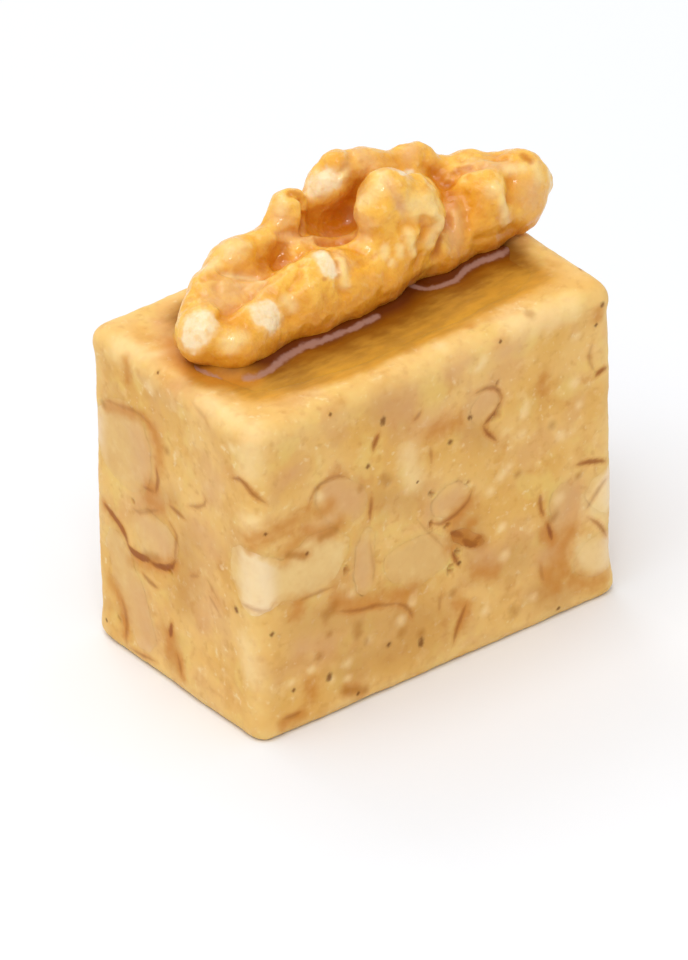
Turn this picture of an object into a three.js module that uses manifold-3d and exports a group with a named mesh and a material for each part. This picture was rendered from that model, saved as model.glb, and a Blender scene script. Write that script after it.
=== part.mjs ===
// Walnut date confection: an upright rounded block of pale nut and date paste,
// walnut pieces that lie flush in its four cut sides, half a walnut kernel on top
// and the syrup that soaks the top round the kernel's foot.
// Millimetres, +Z up. The origin is the middle of the block's underside.
// +X runs along the block's long side, and -Y is the long side that faces the viewer.

import * as THREE from 'three';
import { mergeVertices } from 'three/addons/utils/BufferGeometryUtils.js';
import { MarchingCubes } from 'three/addons/objects/MarchingCubes.js';
import Module from 'manifold-3d';

const wasm = await Module();
wasm.setup();

// The block, as it was cut from a slab: half a walnut kernel just covers its length.
// Its sides dip in by up to dip, and not within fade of the underside and the top.
const block = {
  length: 32.1,
  depth: 19.6,
  height: 25.6,
  edge: 1.4,
  dip: 0.3,
  fade: 3.0,
};
const half = { x: block.length / 2, y: block.depth / 2, z: block.height / 2 };
const top = block.height;

// Clear space between a piece and the paste or syrup that it is set in.
const gap = 0.3;

// Syrup: a thin film over the top that rises to a bead where it meets the kernel. Its
// shore follows the block's outline with rounded corners and two small waves, and the
// film narrows towards the right. Past thinFrom the film thins to its shore.
const syrup = {
  margin: 1.55,
  film: 0.35,
  shoreFilm: 0.14,
  thinFrom: 0.8,
  bead: 0.75,
  beadWidth: 1.1,
  cornerPower: 9,
  waves: [{ count: 3, depth: 0.02, shift: 1 }, { count: 7, depth: 0.012, shift: 0 }],
  narrowing: 0.08,
  rings: 7,
  steps: 40,
};

// The kernel's lobes, each [x, y, height over the block's top, radius]. A ridge is a
// row of lobes that run into each other, with a slight waist between two lobes, and
// lobeBlend is how softly one ridge meets the next.
const waist = 0.1;
const lobeBlend = 0.3;
const kernelRidges = {
  nearRim: [
    [-12.1, 0.6, 1.8, 2.2], [-10.7, -0.5, 1.1, 2.0], [-9.0, -0.3, 1.0, 2.2], [-6.7, 0.2, 1.0, 2.1],
    [-4.0, -0.3, 1.0, 2.2], [-0.9, -0.4, 1.2, 2.2], [1.8, -0.2, 1.3, 2.2], [4.4, 0.2, 1.8, 2.0],
    [6.5, 0.3, 1.5, 1.9],
  ],
  crest: [
    [-8.9, 0.5, 1.9, 1.5], [-6.3, 0.5, 2.1, 1.7], [-4.0, 0.1, 2.8, 1.8], [-1.9, 0.2, 2.9, 1.8],
    [0.4, 0.3, 2.2, 1.8], [3.1, 0.4, 2.9, 2.0],
  ],
  knob: [
    [6.1, 0.9, 5.5, 2.0], [4.3, 1.2, 6.7, 1.7], [3.2, 0.9, 5.7, 1.5], [4.6, 0.5, 3.9, 2.2],
    [6.4, 0.5, 4.1, 1.9],
  ],
  rightLobe: [
    [7.3, 0.0, 0.8, 1.8], [8.9, 0.4, 0.9, 1.7], [10.4, 0.9, 2.0, 1.8], [12.6, 1.1, 3.4, 2.1],
    [15.7, 1.3, 3.2, 2.1], [15.0, 0.7, 1.8, 1.8], [11.8, 0.4, 1.3, 2.1],
  ],
  farRim: [
    [-12.0, 1.8, 2.5, 1.3], [-9.6, 3.6, 3.3, 1.3], [-6.6, 4.8, 3.6, 1.6], [-3.6, 5.0, 3.5, 1.2],
    [-1.1, 5.5, 5.7, 1.2], [0.5, 6.1, 3.4, 1.3], [2.6, 5.9, 5.8, 1.4], [3.4, 5.8, 6.8, 1.3],
    [5.7, 5.6, 6.0, 1.5], [7.9, 5.4, 5.2, 1.4], [9.9, 5.2, 5.6, 1.1], [11.6, 4.6, 3.7, 1.3],
    [13.6, 4.0, 4.1, 1.1], [15.9, 2.9, 3.1, 1.4], [16.9, 1.1, 3.0, 1.5],
  ],
  farFoot: [
    [-10.4, 2.8, 1.2, 1.9], [-7.6, 4.4, 1.1, 2.0], [-4.4, 5.2, 1.3, 2.2], [-1.0, 5.6, 1.2, 2.0],
    [2.4, 6.0, 1.3, 2.1], [5.8, 5.6, 1.6, 2.3], [9.0, 5.1, 1.4, 2.2], [12.0, 4.0, 1.4, 2.1],
  ],
  farWall: [[-1.8, 5.4, 2.6, 1.5], [2.6, 6.4, 3.1, 1.8], [5.8, 5.8, 3.9, 2.0], [9.2, 5.2, 3.6, 1.9]],
  ledge: [[-3.3, 4.2, 4.3, 0.8], [-0.8, 3.3, 3.2, 0.8], [2.6, 2.6, 2.6, 0.9]],
  floor: [
    [-9.6, 2.0, 1.2, 2.1], [-5.8, 2.9, 1.0, 2.2], [-2.0, 3.1, 0.9, 2.1], [2.0, 3.0, 0.0, 2.2],
    [5.8, 3.2, 2.2, 2.4], [9.0, 3.0, 2.7, 2.4], [12.0, 2.6, 2.7, 2.4],
  ],
};

// The grid on which the kernel's skin is found, as [cells, millimetres a cell, middle].
const kernelGrid = { cells: 46, cell: 0.8, centre: new THREE.Vector3(2.2, 2.6, top + 4.0) };
const mostTriangles = 30000;

// Walnut pieces in the paste. side is the cut side that shows the piece, at is its
// middle on that side (along the side, height), size its half width, half height and
// half thickness, turn its slope in degrees, and in how far its middle lies inside.
// The piece at the near corner bends round it, so it has a second lump, also.
const nutPieces = [
  { side: 'left', at: [5.1, 17.5], size: [3.4, 3.8, 1.8], turn: 8, in: 0.5 },
  { side: 'left', at: [2.2, 11.5], size: [2.7, 2.1, 1.6], turn: -14, in: 0.4 },
  { side: 'left', at: [5.0, 5.7], size: [2.0, 4.9, 1.6], turn: -28, in: 0.5 },
  {
    side: 'front', at: [-11.3, 13.1], size: [3.5, 2.5, 2.0], turn: 4, in: 0.6,
    also: { side: 'left', at: [-8.7, 13.2], size: [2.2, 2.8, 2.4], turn: -8, in: 1.0 },
  },
  { side: 'front', at: [-6.5, 11.5], size: [1.1, 2.9, 1.4], turn: -6, in: 0.3 },
  { side: 'front', at: [-1.9, 9.8], size: [3.0, 2.1, 1.6], turn: -24, in: 0.5 },
  { side: 'front', at: [-8.5, 17.5], size: [2.9, 1.7, 1.5], turn: -30, in: 0.4 },
  { side: 'front', at: [4.2, 20.1], size: [1.2, 1.5, 1.3], turn: -20, in: 0.3 },
  { side: 'front', at: [1.1, 13.5], size: [1.9, 1.4, 1.3], turn: 14, in: 0.3 },
  { side: 'front', at: [2.4, 9.9], size: [1.8, 0.75, 1.2], turn: -36, in: 0.2 },
  { side: 'front', at: [10.7, 9.6], size: [0.9, 1.6, 1.2], turn: -12, in: 0.3 },
  { side: 'front', at: [13.9, 3.8], size: [2.5, 1.7, 1.7], turn: -6, in: 0.5 },
  { side: 'front', at: [15.3, 8.8], size: [2.2, 2.0, 1.8], turn: -10, in: 0.6 },
  { side: 'right', at: [-3.2, 17.9], size: [2.9, 2.2, 1.6], turn: 18, in: 0.5 },
  { side: 'right', at: [3.4, 12.7], size: [2.4, 3.6, 1.7], turn: -20, in: 0.5 },
  { side: 'right', at: [0.8, 5.7], size: [3.4, 1.7, 1.6], turn: 12, in: 0.4 },
  { side: 'right', at: [6.1, 20.5], size: [1.7, 1.3, 1.3], turn: -30, in: 0.3 },
  { side: 'back', at: [10.4, 17.1], size: [3.7, 2.2, 1.7], turn: -12, in: 0.5 },
  { side: 'back', at: [3.6, 10.5], size: [2.3, 3.4, 1.6], turn: 26, in: 0.5 },
  { side: 'back', at: [-3.4, 18.7], size: [3.0, 1.7, 1.5], turn: 16, in: 0.4 },
  { side: 'back', at: [-9.8, 10.9], size: [3.4, 2.4, 1.8], turn: -22, in: 0.6 },
  { side: 'back', at: [10.8, 6.1], size: [2.2, 1.8, 1.5], turn: 8, in: 0.4 },
  { side: 'back', at: [-3.6, 5.2], size: [2.9, 1.5, 1.5], turn: -10, in: 0.4 },
];

// A piece's dents, as a share of its size, and the facets round it and over its height.
const pieceUnevenness = 0.16;
const pieceSides = 11;
const pieceRings = 7;

// How far the shapes of two neighbouring pieces differ.
const numberShift = 1.7;

const standard = (color, roughness) => new THREE.MeshStandardMaterial({ color, roughness, metalness: 0 });
const materials = {
  paste: standard(0xe0b26b, 0.55),
  nutFlesh: standard(0xe3bf85, 0.5),
  kernel: standard(0xe5a24a, 0.3),
  syrup: standard(0xc98a35, 0.12),
};

function smoothStep(low, high, value) {
  const t = THREE.MathUtils.clamp((value - low) / (high - low), 0, 1);
  return t * t * (3 - 2 * t);
}

function positionOnly(geometry) {
  const bare = geometry.clone();
  bare.deleteAttribute('normal');
  bare.deleteAttribute('uv');
  return mergeVertices(bare, 1e-4);
}

function toSolid(geometry) {
  const bare = positionOnly(geometry);
  const vertProperties = new Float32Array(bare.attributes.position.array);
  const triVerts = new Uint32Array(bare.index.array);
  return new wasm.Manifold(new wasm.Mesh({ numProp: 3, vertProperties, triVerts }));
}

function toGeometry(solid) {
  const mesh = solid.getMesh();
  const geometry = new THREE.BufferGeometry();
  geometry.setAttribute('position', new THREE.BufferAttribute(mesh.vertProperties, 3));
  geometry.setIndex(new THREE.BufferAttribute(mesh.triVerts, 1));
  return geometry;
}

// The biggest body of a cut solid, without the scraps that the cut leaves.
function biggestBody(solid) {
  return solid.decompose().reduce((big, body) => (body.volume() > big.volume() ? body : big));
}

function movePoints(geometry, rule) {
  const position = geometry.attributes.position;
  const point = new THREE.Vector3();
  for (let i = 0; i < position.count; i += 1) {
    point.fromBufferAttribute(position, i);
    rule(point);
    position.setXYZ(i, point.x, point.y, point.z);
  }
  return geometry;
}

// Long and short swells over a side, between 0 and 1. Each side has its own shift.
function ripple(a, b, shift) {
  const long = Math.sin(0.31 * a + shift) * Math.cos(0.27 * b + 2 * shift);
  const short = 0.5 * Math.sin(0.62 * a - 0.55 * b + 3 * shift);
  return 0.5 + (long + short) / 3;
}

// The soft paste dips in a little over each side. It stays true at the underside,
// where it stands, and at the top, where the syrup lies.
function dipSides(p) {
  const free = smoothStep(0, block.fade, p.z) * smoothStep(0, block.fade, top - p.z);
  const endDip = block.dip * ripple(p.y, p.z, p.x > 0 ? 1.1 : 0.3);
  const longSideDip = block.dip * ripple(p.x, p.z, p.y > 0 ? 2.3 : 1.7);
  p.x -= free * endDip * (p.x / half.x);
  p.y -= free * longSideDip * (p.y / half.y);
}

// A box's grid line i of n, with two short steps over each rounded edge.
function gridLine(i, n, halfSide) {
  const mirrored = Math.min(i, n - i);
  const sign = i * 2 < n ? -1 : 1;
  const flat = halfSide - block.edge;
  const roundSteps = 2;
  if (mirrored >= roundSteps) {
    const t = (i - roundSteps) / (n - 2 * roundSteps);
    return THREE.MathUtils.lerp(-flat, flat, t);
  }
  const angle = (Math.PI / 4) * (1 - mirrored / roundSteps);
  return sign * (flat + block.edge * Math.tan(angle));
}

function blockGeometry(steps) {
  const box = new THREE.BoxGeometry(2, 2, 2, steps.x, steps.y, steps.z);
  const outer = new THREE.Vector3();
  const inner = new THREE.Vector3();
  return movePoints(positionOnly(box), (p) => {
    for (const axis of ['x', 'y', 'z']) {
      const i = Math.round(((p[axis] + 1) / 2) * steps[axis]);
      outer[axis] = gridLine(i, steps[axis], half[axis]);
      const flat = half[axis] - block.edge;
      inner[axis] = THREE.MathUtils.clamp(outer[axis], -flat, flat);
    }
    outer.sub(inner).normalize().multiplyScalar(block.edge);
    p.copy(inner).add(outer);
    p.z += half.z;
    dipSides(p);
  });
}

// Where a piece's middle and axes lie, for each cut side of the block.
const sides = {
  front: { normal: [0, -1, 0], along: [1, 0, 0] },
  back: { normal: [0, 1, 0], along: [1, 0, 0] },
  left: { normal: [-1, 0, 0], along: [0, 1, 0] },
  right: { normal: [1, 0, 0], along: [0, 1, 0] },
};

// A nut piece is a lump with broad dents, each one different by its number.
function lump(number, size, extra) {
  const sphere = new THREE.SphereGeometry(1, pieceSides, pieceRings);
  const shift = numberShift * number;
  return movePoints(sphere, (p) => {
    const dents = Math.sin(2.3 * p.x + shift) * Math.cos(1.9 * p.y - shift)
      + 0.6 * Math.sin(3.1 * p.z + 2.4 * p.x + 2 * shift);
    const grown = 1 + pieceUnevenness * dents;
    p.set(
      p.x * (size[0] * grown + extra),
      p.y * (size[2] * grown + extra),
      p.z * (size[1] * grown + extra),
    );
  });
}

function placeLump(geometry, piece) {
  const side = sides[piece.side];
  const normal = new THREE.Vector3(...side.normal);
  const along = new THREE.Vector3(...side.along);
  const reach = Math.abs(normal.x) * half.x + Math.abs(normal.y) * half.y;
  const middle = along.clone().multiplyScalar(piece.at[0]);
  middle.addScaledVector(normal, reach - piece.in);
  middle.z = piece.at[1];
  const up = new THREE.Vector3(0, 0, 1);
  const inward = new THREE.Vector3().crossVectors(up, along);
  const frame = new THREE.Matrix4().makeBasis(along, inward, up);
  const turn = new THREE.Matrix4().makeRotationY(THREE.MathUtils.degToRad(-piece.turn));
  return geometry.applyMatrix4(turn).applyMatrix4(frame.setPosition(middle));
}

function nutSolid(number, piece, extra) {
  const solid = toSolid(placeLump(lump(number, piece.size, extra), piece));
  return piece.also ? solid.add(nutSolid(number, piece.also, extra)) : solid;
}

// Distance to a rounded bar between two lobes, thinner in the middle.
function barDistance(p, a, b) {
  const ax = p.x - a[0];
  const ay = p.y - a[1];
  const az = p.z - (top + a[2]);
  const bx = b[0] - a[0];
  const by = b[1] - a[1];
  const bz = b[2] - a[2];
  const length2 = bx * bx + by * by + bz * bz;
  const t = THREE.MathUtils.clamp((ax * bx + ay * by + az * bz) / length2, 0, 1);
  const radius = THREE.MathUtils.lerp(a[3], b[3], t) * (1 - 4 * waist * t * (1 - t));
  return Math.hypot(ax - t * bx, ay - t * by, az - t * bz) - radius;
}

// Signed distance to the whole kernel, with the creases between lobes filled softly.
function kernelDistance(p) {
  let sum = 0;
  for (const ridge of Object.values(kernelRidges)) {
    for (let i = 1; i < ridge.length; i += 1) {
      sum += Math.exp(-barDistance(p, ridge[i - 1], ridge[i]) / lobeBlend);
    }
  }
  return -lobeBlend * Math.log(sum + 1e-30);
}

// Joins the corners that triangles share. Each corner lies on one edge of the grid,
// on a grid line in two directions and between two lines in the third.
function weldOnGrid(array, corners, cells) {
  const numberOf = new Map();
  const places = [];
  const index = [];
  const onLine = 0.01;
  for (let i = 0; i < corners; i += 1) {
    const place = [array[3 * i], array[3 * i + 1], array[3 * i + 2]];
    const key = place.map((value) => {
      const step = ((value + 1) * cells) / 2;
      return Math.abs(step - Math.round(step)) < onLine ? Math.round(step) : Math.floor(step) + 0.5;
    }).join();
    if (!numberOf.has(key)) {
      numberOf.set(key, numberOf.size);
      places.push(...place);
    }
    index.push(numberOf.get(key));
  }
  const geometry = new THREE.BufferGeometry();
  geometry.setAttribute('position', new THREE.Float32BufferAttribute(places, 3));
  geometry.setIndex(index);
  return geometry;
}

// The kernel's skin, or a skin that lies a given distance outside it.
function kernelSkin(outside) {
  const n = kernelGrid.cells;
  const reach = (n * kernelGrid.cell) / 2;
  const cubes = new MarchingCubes(n, new THREE.Material(), false, false, mostTriangles);
  cubes.isolation = 0;
  const p = new THREE.Vector3();
  const leastStep = 0.03;
  for (let k = 0; k < n; k += 1) {
    for (let j = 0; j < n; j += 1) {
      for (let i = 0; i < n; i += 1) {
        p.set((2 * i) / n - 1, (2 * j) / n - 1, (2 * k) / n - 1).multiplyScalar(reach);
        p.add(kernelGrid.centre);
        const depth = outside - kernelDistance(p);
        const clear = Math.abs(depth) < leastStep ? leastStep * (depth < 0 ? -1 : 1) : depth;
        cubes.field[i + j * n + k * n * n] = clear;
      }
    }
  }
  cubes.update();
  const geometry = weldOnGrid(cubes.positionArray, cubes.geometry.drawRange.count, n);
  return movePoints(geometry, (q) => q.multiplyScalar(reach).add(kernelGrid.centre));
}

// Everything under the block's top, to give the kernel a flat foot.
function underTop() {
  const slab = new THREE.BoxGeometry(2 * block.length, 2 * block.length, top);
  slab.translate(0, 0, half.z);
  return toSolid(slab);
}

function walnutKernel() {
  return toSolid(kernelSkin(0)).subtract(underTop());
}

// Where the syrup's shore lies at an angle, as a share of its reach along x and y.
function shoreAt(angle) {
  const power = syrup.cornerPower;
  const sum = Math.abs(Math.cos(angle)) ** power + Math.abs(Math.sin(angle)) ** power;
  let shore = sum ** (-1 / power);
  for (const wave of syrup.waves) {
    shore *= 1 - wave.depth * (1 + Math.sin(wave.count * angle + wave.shift));
  }
  return shore;
}

// How high the syrup stands over the block's top at a place in the film, where share
// runs from 0 in the middle to 1 at the shore.
function syrupHeight(x, y, share) {
  const beside = { x, y, z: top + syrup.bead };
  const away = Math.max(kernelDistance(beside) - gap, 0) / syrup.beadWidth;
  const whole = syrup.film - syrup.shoreFilm + syrup.bead * Math.exp(-away * away);
  return syrup.shoreFilm + whole * smoothStep(1, syrup.thinFrom, share);
}

// The film is a low disc stretched to its shore. Its profile closes on the axis.
function syrupSolid() {
  const profile = [new THREE.Vector2(0, 0), new THREE.Vector2(1, 0)];
  for (let i = syrup.rings; i >= 0; i -= 1) {
    profile.push(new THREE.Vector2(i / syrup.rings, 1));
  }
  const disc = new THREE.LatheGeometry(profile, syrup.steps);
  disc.rotateX(Math.PI / 2);
  const reachX = half.x - syrup.margin;
  const reachY = half.y - syrup.margin;
  return toSolid(movePoints(disc, (p) => {
    const angle = Math.atan2(p.y, p.x);
    const share = Math.hypot(p.x, p.y);
    const shore = shoreAt(angle) * share;
    p.x = reachX * shore * Math.cos(angle);
    p.y = reachY * shore * Math.sin(angle) * (1 - syrup.narrowing * (1 + p.x / reachX));
    p.z = top + (p.z > 0.5 ? syrupHeight(p.x, p.y, share) : 0);
  }));
}

function addMesh(group, name, solid, material) {
  const mesh = new THREE.Mesh(toGeometry(solid), material);
  mesh.name = name;
  group.add(mesh);
}

const confection = new THREE.Group();

const wholeBlock = toSolid(blockGeometry({ x: 16, y: 12, z: 14 }));
let paste = wholeBlock;
nutPieces.forEach((piece, number) => {
  paste = paste.subtract(nutSolid(number, piece, gap));
});
addMesh(confection, 'paste_block', paste, materials.paste);

addMesh(confection, 'walnut_kernel', walnutKernel(), materials.kernel);

const film = biggestBody(syrupSolid().subtract(toSolid(kernelSkin(gap))));
addMesh(confection, 'syrup_film', film, materials.syrup);

nutPieces.forEach((piece, number) => {
  const earlier = nutPieces.slice(0, number);
  const sameSide = earlier.filter((other) => other.side === piece.side);
  const name = `nut_${piece.side}_${sameSide.length + 1}`;
  let flush = nutSolid(number, piece, 0).intersect(wholeBlock);
  earlier.forEach((other, otherNumber) => {
    flush = flush.subtract(nutSolid(otherNumber, other, gap));
  });
  addMesh(confection, name, biggestBody(flush), materials.nutFlesh);
});

export default confection;
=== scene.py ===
# %% [markdown]
# # A walnut date confection
#
# The real thing is a sweet about 32 mm long: an upright block of pale, soft paste of
# ground nuts and dates, with pieces of walnut that the knife cut through, and half a
# walnut kernel on top that sits in a little amber syrup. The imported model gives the
# plain solids and their places. Each solid is stood for here by a finer mesh in the
# same place, and each mesh gets a finish of its own.

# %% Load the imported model
import math
import random

import bpy
import numpy as np
from mathutils import Matrix, Vector
from mathutils.bvhtree import BVHTree
from mathutils.kdtree import KDTree


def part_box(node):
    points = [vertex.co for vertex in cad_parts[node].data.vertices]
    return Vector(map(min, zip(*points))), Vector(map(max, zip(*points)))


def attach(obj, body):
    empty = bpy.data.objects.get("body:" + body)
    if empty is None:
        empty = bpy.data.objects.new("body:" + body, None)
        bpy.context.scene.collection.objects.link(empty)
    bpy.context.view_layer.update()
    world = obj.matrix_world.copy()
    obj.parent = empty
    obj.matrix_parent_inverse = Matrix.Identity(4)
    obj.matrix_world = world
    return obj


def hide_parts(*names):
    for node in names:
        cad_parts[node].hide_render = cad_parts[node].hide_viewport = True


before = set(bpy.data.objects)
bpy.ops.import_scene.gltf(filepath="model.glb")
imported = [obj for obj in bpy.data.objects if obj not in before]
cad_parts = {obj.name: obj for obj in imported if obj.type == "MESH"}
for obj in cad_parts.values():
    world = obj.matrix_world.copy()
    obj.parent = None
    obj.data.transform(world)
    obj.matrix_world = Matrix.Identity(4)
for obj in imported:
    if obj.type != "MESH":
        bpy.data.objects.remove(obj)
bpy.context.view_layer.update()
print("nodes:", len(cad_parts))

# %% [markdown]
# ## Sizes
#
# Places are worked out in millimetres, as a cook would measure the sweet, and turned
# to Blender's metres at the last moment. The block's size is read from the packed
# model, so that the finer meshes fit it. The origin is the middle of the underside,
# the long cut side that faces the viewer is at -y, and the short one at -x.

# %% Sizes from the model
MM = 0.001
block_low, block_high = [np.array(corner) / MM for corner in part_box("paste_block")]
half_x, half_y, top = block_high
edge_round = 1.4
side_dip = 0.3
dip_fade = 3.0
print("block", np.round(block_high - block_low, 1), "mm")

# %% [markdown]
# ## Camera
#
# The photo was taken from far away with a long lens: upright edges stay upright. The
# camera stands 1.2 m away, looks down by 32.6 degrees, and is turned so that the long
# side is seen more than the short one. It is set up first, because folds and marks that
# were read off the photo are laid on the sweet along the camera's lines of sight.

# %% Camera
turn, tilt, roll = math.radians(-36.6), math.radians(32.6), math.radians(-1.4)
distance = 1200.0
frame_height = 67.37
back = Vector((math.sin(turn) * math.cos(tilt), -math.cos(turn) * math.cos(tilt), math.sin(tilt)))
level = Vector((math.cos(turn), math.sin(turn), 0))
upright = back.cross(level)
right = math.cos(roll) * level + math.sin(roll) * upright
upward = math.cos(roll) * upright - math.sin(roll) * level
look_height, move_left, move_down = 12.9, 0.70, 1.65
aim = Vector((0, 0, look_height)) - move_left * right - move_down * upward
eye = aim + distance * back
camera_data = bpy.data.cameras.new("camera")
camera_data.sensor_width = 36
camera_data.lens = camera_data.sensor_width * distance / frame_height
camera_data.clip_start, camera_data.clip_end = 0.1, 10
camera = bpy.data.objects.new("camera", camera_data)
bpy.context.collection.objects.link(camera)
camera.location = eye * MM
camera.rotation_euler = Matrix((right, upward, back)).transposed().to_euler()
bpy.context.scene.camera = camera
bpy.context.scene.view_settings.view_transform = "Standard"
print("lens", round(camera_data.lens), "mm")


# %% Lines of sight
photo_width, photo_height = 688, 960
pixel = frame_height / photo_height


def seen_at(tree, spot):
    """The place on a surface that shows at this pixel of the photo, or None."""
    across = (spot[0] - photo_width / 2) * pixel
    down = (spot[1] - photo_height / 2) * pixel
    sight = aim + across * right - down * upward - eye
    return tree.ray_cast(eye, sight.normalized())[0]


def laid_line(tree, pixels):
    """A line of pixels laid on a surface in short steps, in millimetres."""
    pixel_step, least_gap = 4.0, 0.01
    line = []
    for start, end in zip(pixels, pixels[1:] or pixels):
        count = math.ceil(math.dist(start, end) / pixel_step)
        for i in range(count + 1):
            spot = [a + (b - a) * i / max(count, 1) for a, b in zip(start, end)]
            seen = seen_at(tree, spot)
            if seen is not None and (not line or (seen - line[-1]).length > least_gap):
                line.append(seen)
    return np.array(line)


def line_distance(spots, line):
    """Shortest distance from each spot to a line of straight stretches."""
    line = np.array(line, dtype=float)
    best = np.linalg.norm(spots - line[0], axis=1)
    for start, end in zip(line, line[1:]):
        along = end - start
        share = np.clip((spots - start) @ along / max(along @ along, 1e-9), 0, 1)
        best = np.minimum(best, np.linalg.norm(spots - start - share[:, None] * along, axis=1))
    return best


print("a pixel is", round(pixel, 4), "mm wide")

# %% [markdown]
# ## Helpers for handling a mesh
#
# Operators act on what is selected, so every step first selects one piece alone. The
# points of a mesh are read and written all at once as an array, in millimetres. Others
# measure: how far a place lies from a surface, and which points are worth measuring.


# %% Mesh helpers
def only(piece):
    """Selects this piece alone and makes it active."""
    bpy.ops.object.select_all(action="DESELECT")
    piece.select_set(True)
    bpy.context.view_layer.objects.active = piece


def apply_modifier(piece, kind, **settings):
    """Adds a modifier with these settings and applies it."""
    only(piece)
    modifier = piece.modifiers.new(kind.title(), kind)
    for name, value in settings.items():
        setattr(modifier, name, value)
    bpy.ops.object.modifier_apply(modifier=modifier.name)


def read_points(piece):
    """The piece's points in millimetres, one row each."""
    flat = np.empty(len(piece.data.vertices) * 3, dtype=np.float32)
    piece.data.vertices.foreach_get("co", flat)
    return flat.reshape(-1, 3).astype(float) / MM


def write_points(piece, places):
    """Puts the piece's points at these places, given in millimetres."""
    piece.data.vertices.foreach_set("co", (places * MM).astype(np.float32).ravel())
    piece.data.update()


def read_normals(piece):
    """The direction that each point of the piece faces."""
    flat = np.empty(len(piece.data.vertices) * 3, dtype=np.float32)
    piece.data.vertex_normals.foreach_get("vector", flat)
    return flat.reshape(-1, 3).astype(float)


def store(piece, name, values):
    """Keeps one number for each point, for the materials to read."""
    layer = piece.data.attributes.new(name, "FLOAT", "POINT")
    layer.data.foreach_set("value", values.astype(np.float32))


def triangles(piece):
    """How many triangles the piece has."""
    return sum(len(face.vertices) - 2 for face in piece.data.polygons)


print("mesh helpers ready")


# %% Measuring helpers
def smooth_step(low, high, values):
    """Rises softly from 0 at low to 1 at high."""
    share = np.clip((values - low) / (high - low), 0, 1)
    return share * share * (3 - 2 * share)


def close_to(spots, places, margin):
    """Which spots lie in the box round these places, widened by a margin."""
    low, high = places.min(axis=0) - margin, places.max(axis=0) + margin
    return np.where(np.all((spots > low) & (spots < high), axis=1))[0]


def surface_of(piece):
    """A search tree of the piece's surface, in millimetres."""
    corners = [Vector(place) for place in read_points(piece)]
    faces = [tuple(face.vertices) for face in piece.data.polygons]
    return BVHTree.FromPolygons(corners, faces)


def signed_distance(tree, place, reach):
    """Distance from a place to a surface, below zero inside it."""
    hit, normal, _, distance = tree.find_nearest(Vector(place), reach)
    if hit is None:
        return reach
    return -distance if (Vector(place) - hit).dot(normal) < 0 else distance


print("measuring helpers ready")

# %% [markdown]
# ## Uneven surfaces
#
# Hand-made food is never true. A Displace modifier moves each point along its normal
# by a cloud pattern. The pattern's size and its depth are both real sizes in
# millimetres: broad waves from the slab, and finer ones from the ground nuts.


# %% Cloud patterns for unevenness
def roughen(piece, size, depth, octaves=1):
    """Moves the surface in and out by up to about depth, in lumps of about size."""
    clouds = bpy.data.textures.new(f"clouds {size} mm", "CLOUDS")
    clouds.noise_scale = size * MM
    clouds.noise_depth = octaves
    apply_modifier(
        piece, "DISPLACE", texture=clouds, texture_coords="LOCAL",
        strength=2 * depth * MM, mid_level=0.5,
    )


print("cloud patterns ready")

# %% [markdown]
# ## The block's soft sides
#
# The sides dip in a little, by the same rule as the solid. The rule is kept as one
# function that gives, for any place, how far it lies under the block's skin. The
# block is then a rounded box whose corners are worked out, not drawn.


# %% The dip rule and the depth under the skin
def ripple(a, b, shift):
    """Long and short swells over a side, between 0 and 1."""
    long_swell = np.sin(0.31 * a + shift) * np.cos(0.27 * b + 2 * shift)
    short_swell = 0.5 * np.sin(0.62 * a - 0.55 * b + 3 * shift)
    return 0.5 + (long_swell + short_swell) / 3


def side_shift(places):
    """How far the dips move each place, as x and y."""
    x, y, z = places.T
    free = smooth_step(0, dip_fade, z) * smooth_step(0, dip_fade, top - z)
    end_dip = side_dip * ripple(y, z, np.where(x > 0, 1.1, 0.3))
    long_dip = side_dip * ripple(x, z, np.where(y > 0, 2.3, 1.7))
    shift = np.zeros_like(places)
    shift[:, 0] = -free * end_dip * x / half_x
    shift[:, 1] = -free * long_dip * y / half_y
    return shift


def under_skin(places):
    """Depth of each place under the block's skin, and the way out."""
    straight = places - side_shift(places)
    middle = np.array([0, 0, top / 2])
    halves = np.array([half_x, half_y, top / 2])
    beyond = np.abs(straight - middle) - (halves - edge_round)
    outside = np.maximum(beyond, 0)
    length = np.linalg.norm(outside, axis=1)
    inside = np.minimum(beyond.max(axis=1), 0)
    way = np.where(beyond == beyond.max(axis=1)[:, None], 1.0, 0.0)
    rounded = length > 1e-6
    way[rounded] = outside[rounded] / length[rounded, None]
    way *= np.sign(straight - middle)
    return edge_round - length - inside, way


print("skin depth at the middle of the front:", under_skin(np.array([[0, -half_y + 1, top / 2]]))[0])

# %% [markdown]
# ## The paste block
#
# The block is cut from a slab with a knife, so it is a box with soft, slightly worn
# edges. It could be sculpted, but a box that is bevelled, given an even skin of small
# faces by a voxel remesh, dipped and roughened says the same with a few sizes. The box
# starts a little below the floor and is cut flat there, because its weight has pressed
# the lowest edge a little sharper than the others.

# %% Model the block
bpy.ops.object.select_all(action="DESELECT")
foot_cut = 0.35
bpy.ops.mesh.primitive_cube_add(size=1, location=(0, 0, (top - foot_cut) / 2 * MM))
paste = bpy.context.object
paste.name = "paste_body"
paste.scale = (2 * half_x * MM, 2 * half_y * MM, (top + foot_cut) * MM)
bpy.ops.object.transform_apply(location=True, rotation=True, scale=True)
bpy.ops.object.mode_set(mode="EDIT")
bpy.ops.mesh.select_all(action="SELECT")
bpy.ops.mesh.bevel(offset=edge_round * MM, segments=6, affect="EDGES")
bpy.ops.object.mode_set(mode="OBJECT")
skin_step = 0.22
apply_modifier(paste, "REMESH", mode="VOXEL", voxel_size=skin_step * MM)
apply_modifier(paste, "SMOOTH", factor=0.5, iterations=3)
places = read_points(paste)
write_points(paste, places + side_shift(places))
print("block skin:", triangles(paste), "triangles")

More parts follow.
